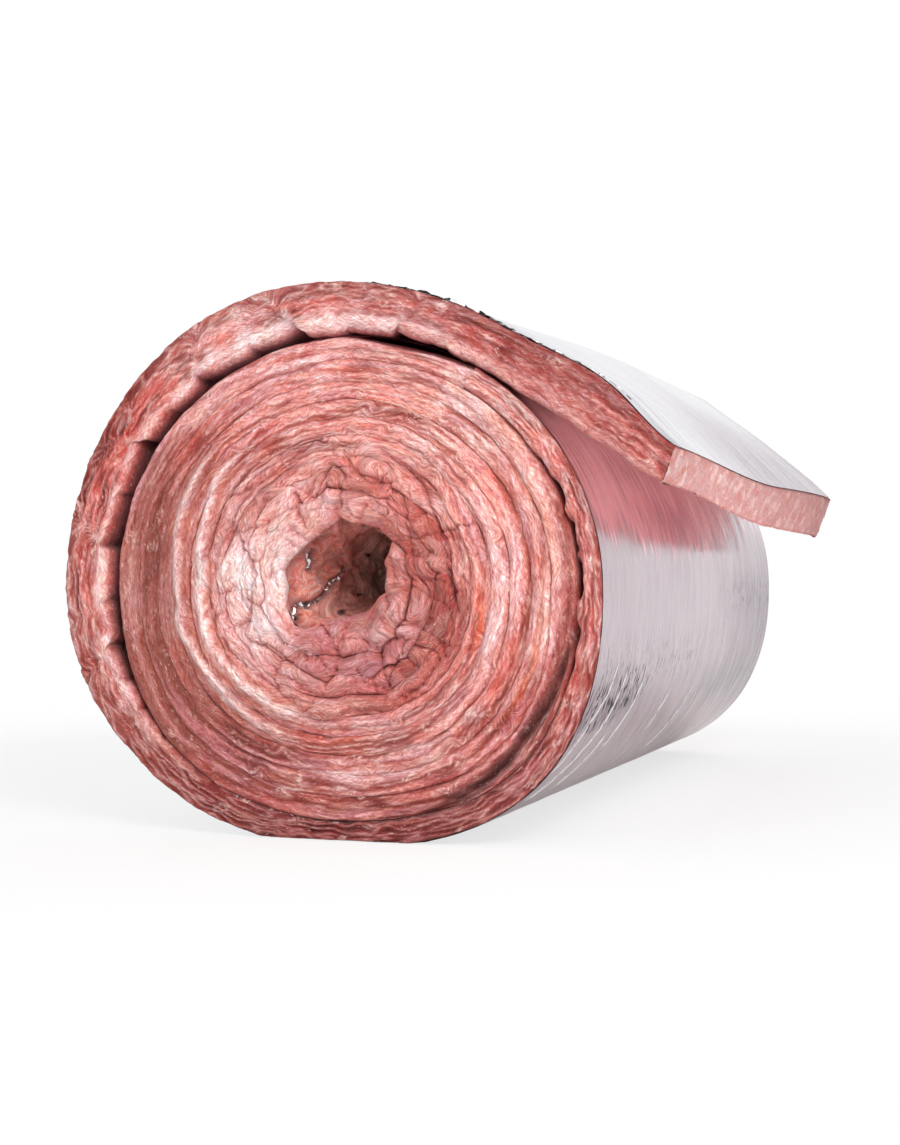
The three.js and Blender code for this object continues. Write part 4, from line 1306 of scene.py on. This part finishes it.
def sliver(piece, line):
    """A crumpled edge of foil standing out of the wall of the bore."""
    line = np.array(line, float)
    run, t = steps_along(*line.T, SLIVER_STEP)
    at_s = np.interp(t, run, line[:, 0]) + 2.0 * noise(t / 6, line[0, 0], 140)
    at_y = np.interp(t, run, line[:, 1]) + 2.5 * noise(t / 7, line[0, 1], 141)
    middle, out = line_on(bore_grid, at_s, at_y, (BORE[0], 0, BORE[1]))
    facing = np.cross(np.gradient(middle, axis=0), TO_MOUTH)
    facing /= np.linalg.norm(facing, axis=1)[:, None]
    out = facing * np.sign(np.sum(facing * out, axis=1))[:, None]
    rise = (SLIVER_RISE + 2.4 * noise(t / 5, line[0, 0], 142)) * tapered(t, 4, 4)
    lean = 0.7 * np.stack([1.5 * noise(t / 2.6, line[0, 1] + k, 143) for k in range(3)], -1)
    crest = middle + out * rise[:, None] + lean
    rows = [middle - out * SLIVER_ROOT, middle + out * rise[:, None] * 0.5 + 0.5 * lean[::-1], crest]
    shade = 0.3 + 0.7 * patchy(t / 3.4, line[0, 0], 144, -0.3, 0.1)
    return ribbon(piece, t, rows, shade, flip=False)


def foil_ridge(piece, surface, line):
    """A sharp crease raised from the facing."""
    line = np.array(line, float)
    ends_s = length_at(wrap_at(line[:, 0]))
    run, t = steps_along(ends_s, line[:, 1], FOIL_RIDGE_STEP)
    at_y = np.interp(t, run, line[:, 1]) + 3.0 * noise(t / 14, line[0, 1], 87)
    at_y = at_y + 0.8 * noise(t / 4, line[0, 1], 88)
    middle, out = line_on(surface, np.interp(t, run, ends_s), at_y, (9000.0, 0, 0))
    rise = FOIL_RIDGE_HEIGHT * tapered(t, 14, 14) * patchy(t / 11, line[0, 1], 89, -0.8, -0.1)
    aside = np.array([0.0, FOIL_RIDGE_WIDTH, 0.0])
    foot = middle - out * FOIL_RIDGE_FOOT
    return ribbon(piece, t, [foot - aside, middle + out * rise[:, None], foot + aside], 1.0, axis=1)


def tatter(piece, surface, at_y, first, reach, most):
    """A torn strip standing up along the near edge."""
    begin, end = length_at(wrap_at(first)), length_at(LIFT_OFF) + reach
    t = np.linspace(0, end - begin, int((end - begin) / TATTER_STEP) + 2)
    middle, out = line_on(surface, begin + t, at_y + 2.0 * noise(t / 9, at_y, 150), (0, 0, 9000.0))
    rise = most * np.clip(0.1 + 1.6 * noise(t / 15, at_y, 151) + 0.3 * noise(t / 5, at_y, 152), -0.25, 1.0)
    rise = (rise * tapered(t, 20, 30))[:, None]
    lean = np.stack([0.8 * noise(t / 6, at_y + k, 153) for k in range(3)], -1)
    rows = [middle - out * TATTER_ROOT, middle + out * rise * 0.5, middle + (out + lean * 0.5) * rise]
    # Its black stretches are painted shade
    return ribbon(piece, t, rows, np.where(noise(t / 9, at_y + 4, 154) > 0.05, 0.9, 0.02))


def foil_rows(start, end):
    """Places along the facing, closer together on the +X side and, less so, on the free end."""
    fine = np.linspace(start, end, 3000)
    w, _ = wrap_share(fine)
    down = signed(angle_of(w))
    coarse_rate, side_rate, end_rate = (1 / step for step in FOIL_STEPS)
    rate = (side_rate - coarse_rate) * smooth(down, -70, -58) * (1 - smooth(down, 66, 76)) * (w < 9.4)
    rate = rate + coarse_rate
    rate = np.maximum(rate, end_rate * (w > 9.66))
    run = running(0.5 * (rate[1:] + rate[:-1]) * np.diff(fine))
    return np.interp(np.linspace(0, run[-1], int(run[-1]) + 1), run, fine)


def foil_sheet():
    fine = np.linspace(-HALF + FOIL_INSET, -HALF + 200, 130)
    y = np.concatenate([fine, np.linspace(-HALF + 203, HALF - FOIL_INSET, 290)])
    start = length_at(COIL_FOIL_START)
    s = foil_rows(start, TOTAL - FOIL_SHORT)
    S, Y, W, F = lay(s, y)
    _, outer, up = section(W, F, Y / BLANKET_WIDTH + 0.5)
    deep = end_gap(Y)
    slanted = Y + 0.05 * (S - start) + 9 * noise(S / 330, Y / 120, 71) + 12 * noise(S / 900, Y / 34, 78)
    wrinkle = 0.9 * fbm(S / 240, slanted / 110, 73, 2) + 0.07 * noise(S / 60, slanted / 17, 72)
    wrinkle += 0.04 * ridges(S / 34, slanted / 9.5, 74) * patchy(S / 90, Y / 60, 86, -0.2, 0.5)
    wrinkle += 0.5 * ridges(S / 80, Y / 6.5, 77) * np.exp(-deep / 20)
    angle = angle_of(W)
    hidden = between(angle, 70, 120, 268, 290) * (F <= 0)
    frayed = between(angle, 48, 62, 84, 98) * (F < 0.5) * (W > 9) + (F > 0) * (1 - smooth(F, 0.1, 0.35))
    close = np.exp(-deep / 12) * (1 - 0.8 * np.clip(frayed, 0, 1))
    lift = 0.7 - 0.4 * close + np.maximum(wrinkle, -0.5) + 0.5 * noise(S / 22, Y / 9, 75) * np.exp(-deep / 6)
    lift = lerp(lift, 0.3, hidden * np.exp(-deep / 14))
    lift = lerp(lift, 0.2, smooth(S, TOTAL - 22, TOTAL - 4))
    curl_up = np.maximum(noise(S / 9, 0.2, 79) + 0.6 * noise(S / 3.5, 0.6, 80) - 0.15, 0)
    lift = lift + np.clip(frayed, 0, 1) * (4.5 * curl_up * np.exp(-(deep - 4) / 4)) * (Y < 0)
    parallel = smooth(W, wrap_at(100), wrap_at(80)) * np.exp(-deep / 60)
    lift = lift + parallel * 0.7 * ridges(S / 300, Y / 7.5, 81)
    plane = outer + up * lift[..., None]
    plane[..., 1] = np.maximum(plane[..., 1], 0.0)
    ragged = np.sign(Y) * (1.8 * noise(S / 13, 1.7, 76) - 1.5 - 6 * hidden) * np.exp(-deep / 12)
    piece = Piece()
    points = standing(plane, Y + ragged)
    side = (W < 9.3) * (F <= 0)
    down = signed(angle)
    low_at = down + 29 - 0.02 * (Y + HALF)
    low = 0.95 * bell(low_at, 6) * side * (1 - smooth(Y, -HALF + 150, -HALF + 400))
    low = np.maximum(low, 0.3 * bell(down + 20, 12) * side * (1 - smooth(Y, -100, 300)))
    far = bell(down + 4, 11) * side * smooth(Y, 0, 250)
    # Painted dark reflections along the wrinkles near the near edge, on the top
    fading = 1 - 0.35 * smooth(Y, -HALF + 25, -HALF + 90) - 0.65 * smooth(Y, -HALF + 90, -HALF + 260)
    lines = 0.7 * (smooth(W, wrap_at(110), wrap_at(70)) * fading)
    # Painted black shade under the torn, lifted edge where the free end leaves the coil
    tear_shade = smooth(W, wrap_at(92), wrap_at(84)) * (1 - smooth(F, 0.2, 0.4))
    tear_shade = tear_shade * (1 - smooth(Y, -HALF + 8, -HALF + 20)) * patchy(S / 20, 0.7, 88, 0.0, 0.35)
    hue = washed(FOIL_TOP, (0.93 * FOIL_TOP, patchy(S / 260, slanted / 130, 93, -0.2, 0.6)))
    # Painted shade, darker towards the tip of the free end
    tip_shade = smooth(F, 0.0, 0.8) * smooth(Y, -450, 50)
    hue = tinged(hue, (0.50, 0.43, 0.47), tip_shade)
    # Painted shade and reflection: darker at the side, at the far end and low down
    hue = washed(
        hue,
        (FOIL_SIDE_SHADE, side * smooth(-down, -70, -20)),
        (FOIL_FAR_SHADE, side * smooth(-down, -20, 10) * smooth(Y, 0, HALF - 60)),
        (FOIL_LOW_SHADE, side * smooth(-down, 8, 55)),
    )
    hue = hue * (1 - 0.45 * side * bell(down + 30, 6) * smooth(Y, -100, 200))[..., None]
    # Painted reflection of the flap's red underside below the flap, with ragged edges, darker and mauve near
    # where it lifts off, and streaked
    fingers = 4.5 * noise(Y / 7.5, 0.5, 91) + 4.0 * noise(Y / 19, 0.5, 92) + 3.0 * noise(Y / 3.2, 0.5, 96)
    edge_rise = 5 * np.exp(-(Y + HALF) / 40) + 3.5 * (1 - smooth(Y, -430, -270)) + 11 * smooth(Y, 0, 420)
    red_reflection = side * smooth(down + fingers - edge_rise, 7.5, 11)
    hue = washed(hue, (FOIL_REFLECTED_RED, red_reflection))
    hue = tinged(hue, (0.84, 0.70, 0.80), red_reflection * smooth(down, 34, 54))
    hue = hue * (1.1 + 1.2 * red_reflection * fbm(S / 130, slanted / 3.4, 95, 2))[..., None]
    # Painted dark reflection of the flap's underside, just below its edge
    dark_flap_reflection = bell(Y + 150, 190) * bell(down - 16 + fingers, 7)
    hue = tinged(hue, (0.45, 0.29, 0.37), side * dark_flap_reflection)
    marks = np.stack([np.clip(low + 0.3 * far, 0, 1), lines, tear_shade], -1)
    piece.grid(points, np.stack([S, slanted], -1), with_alpha(marks, 1.0))
    surface = s, y, points
    hues = [hue.reshape(-1, 3)]
    hues += [sliver(piece, line) for line in SLIVERS]
    hues += [foil_ridge(piece, surface, line) for line in FOIL_RIDGES]
    hues += [tatter(piece, surface, *tear) for tear in TATTERS]
    made = piece.make("foil_sheet", FOIL)
    colour_points(made.data, "hue", with_alpha(np.concatenate(hues), 1.0))
    return made


foil = foil_sheet()

for made in wool:
    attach(made, "root")
    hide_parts("wool_blanket")
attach(foil, "root")
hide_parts("foil_facing")

# ---------------------------------------------------------------- studio
CAMERA_RAY, GLOSSY_RAY = "Is Camera Ray", "Is Glossy Ray"
FLOOR_REACH, STUDIO_LIGHT = 30, 0.64  # half the floor's width in metres, strength of the light all round
FLOOR_SHARE_CAMERA, FLOOR_SHARE_GLOSSY = 0.70, 0.2  # how much of the floor is plain white to each kind of ray
# Minus one over the distance from the roll, between which the floor turns white
FLOOR_FADE_CAMERA, FLOOR_FADE_GLOSSY = (-1.9, -0.42), (-2.0, -0.45)


def by_ray(graph, *shares):
    """The largest of the shares, each of which counts for one kind of ray only."""
    rays, total = graph.add("LightPath").node.outputs, None
    for ray, share in shares:
        seen = graph.math("MULTIPLY", rays[ray], share)
        total = seen if total is None else graph.math("MAXIMUM", total, seen)
    return total


def floor_material():
    material = bpy.data.materials.new("floor_paper")
    graph = Graph(material)
    shader, output = graph.nodes["Principled BSDF"], graph.nodes["Material Output"]
    ramp = graph.add("ValToRGB", {"Fac": graph.add("TexNoise", {"Scale": 3.0}, "Fac")})
    ramp.node.color_ramp.elements[0].color = (0.86, 0.86, 0.86, 1)
    ramp.node.color_ramp.elements[1].color = (0.88, 0.88, 0.88, 1)
    graph.put(shader, {"Roughness": 0.9, "Specular IOR Level": 0.1, "Base Color": ramp})
    position = graph.add("NewGeometry", out="Position")
    away = graph.add("VectorMath", {0: position}, "Value", operation="LENGTH")
    inverse = graph.math("DIVIDE", -1.0, away)

    def fading(ends):
        inputs = {"Value": inverse, "From Min": ends[0], "From Max": ends[1]}
        return graph.add("MapRange", inputs, interpolation_type="SMOOTHSTEP")

    white = by_ray(
        graph,
        (CAMERA_RAY, FLOOR_SHARE_CAMERA),
        (GLOSSY_RAY, FLOOR_SHARE_GLOSSY),
        (GLOSSY_RAY, fading(FLOOR_FADE_GLOSSY)),
        (CAMERA_RAY, fading(FLOOR_FADE_CAMERA)),
    )
    surface = graph.add("MixShader", {0: white, 1: shader.outputs[0], 2: graph.add("Emission")})
    graph.put(output, {"Surface": surface})
    return material


def aimed_along(direction):
    return Vector(direction).to_track_quat("-Z", "Y").to_euler()


floor_mesh = bpy.data.meshes.new("floor")
corners = [(x * FLOOR_REACH, y * FLOOR_REACH, 0) for x, y in ((-1, -1), (1, -1), (1, 1), (-1, 1))]
floor_mesh.from_pydata(corners, [], [(0, 1, 2, 3)])
floor_mesh.materials.append(floor_material())
floor = placed("floor", floor_mesh)

world = bpy.data.worlds.new("studio")
bpy.context.scene.world = world
studio = Graph(world)
white = by_ray(studio, (CAMERA_RAY, 1.0), (GLOSSY_RAY, 1.0))
level = studio.add("MapRange", {"Value": white, "To Min": STUDIO_LIGHT})
studio.put(studio.nodes["Background"], {"Color": (1, 1, 1, 1), "Strength": level})


def lamp(name, place, target, size, power, glossy=True):
    data = bpy.data.lights.new(name, "AREA")
    data.shape, data.size, data.energy = "SQUARE", size, power
    made = placed(name, data, place)
    made.rotation_euler = aimed_along(np.array(target) - np.array(place))
    made.visible_glossy = glossy
    return made


lamp("key", (1.6, -2.7, 2.0), (-0.05, -0.55, 0.3), 1.2, 56)
lamp("front", (-1.2, -3.1, 1.1), (0, -0.6, 0.3), 1.4, 17)
# The rest light the wool only: the foil would show them as a glare
lamp("back", (-0.6, 3.2, 1.3), (0, 0.6, 0.3), 1.4, 32, glossy=False)
lamp("side", (2.6, -1.4, 0.8), (0.25, -0.2, 0.4), 1.3, 24, glossy=False)
# A strip on the floor lights the underside of the flap
strip = lamp("under_flap", (0.52, 0, 0.1), (0.31, 0, 0.46), 0.1, 3.5, glossy=False)
strip.data.shape, strip.data.size_y = "RECTANGLE", 1.1
strip.rotation_euler = (0, math.radians(149.7), 0)
# A narrow beam shows the depth of the bore
beam = bpy.data.lights.new("bore", "SPOT")
beam.energy, beam.spot_size, beam.spot_blend, beam.shadow_soft_size = 34, math.radians(7.5), 1.0, 0.15
placed("bore", beam, (0.62, -2.3, 0.33)).rotation_euler = aimed_along((-0.655, 2.0, -0.04))

lens = bpy.data.cameras.new("view")
lens.lens, lens.sensor_width = 60, 36
camera = placed("view", lens, (0.7746, -2.5945, 0.301))
camera.rotation_euler = (math.radians(90), 0, math.radians(18))
bpy.context.scene.camera = camera
bpy.context.scene.view_settings.view_transform = "Standard"
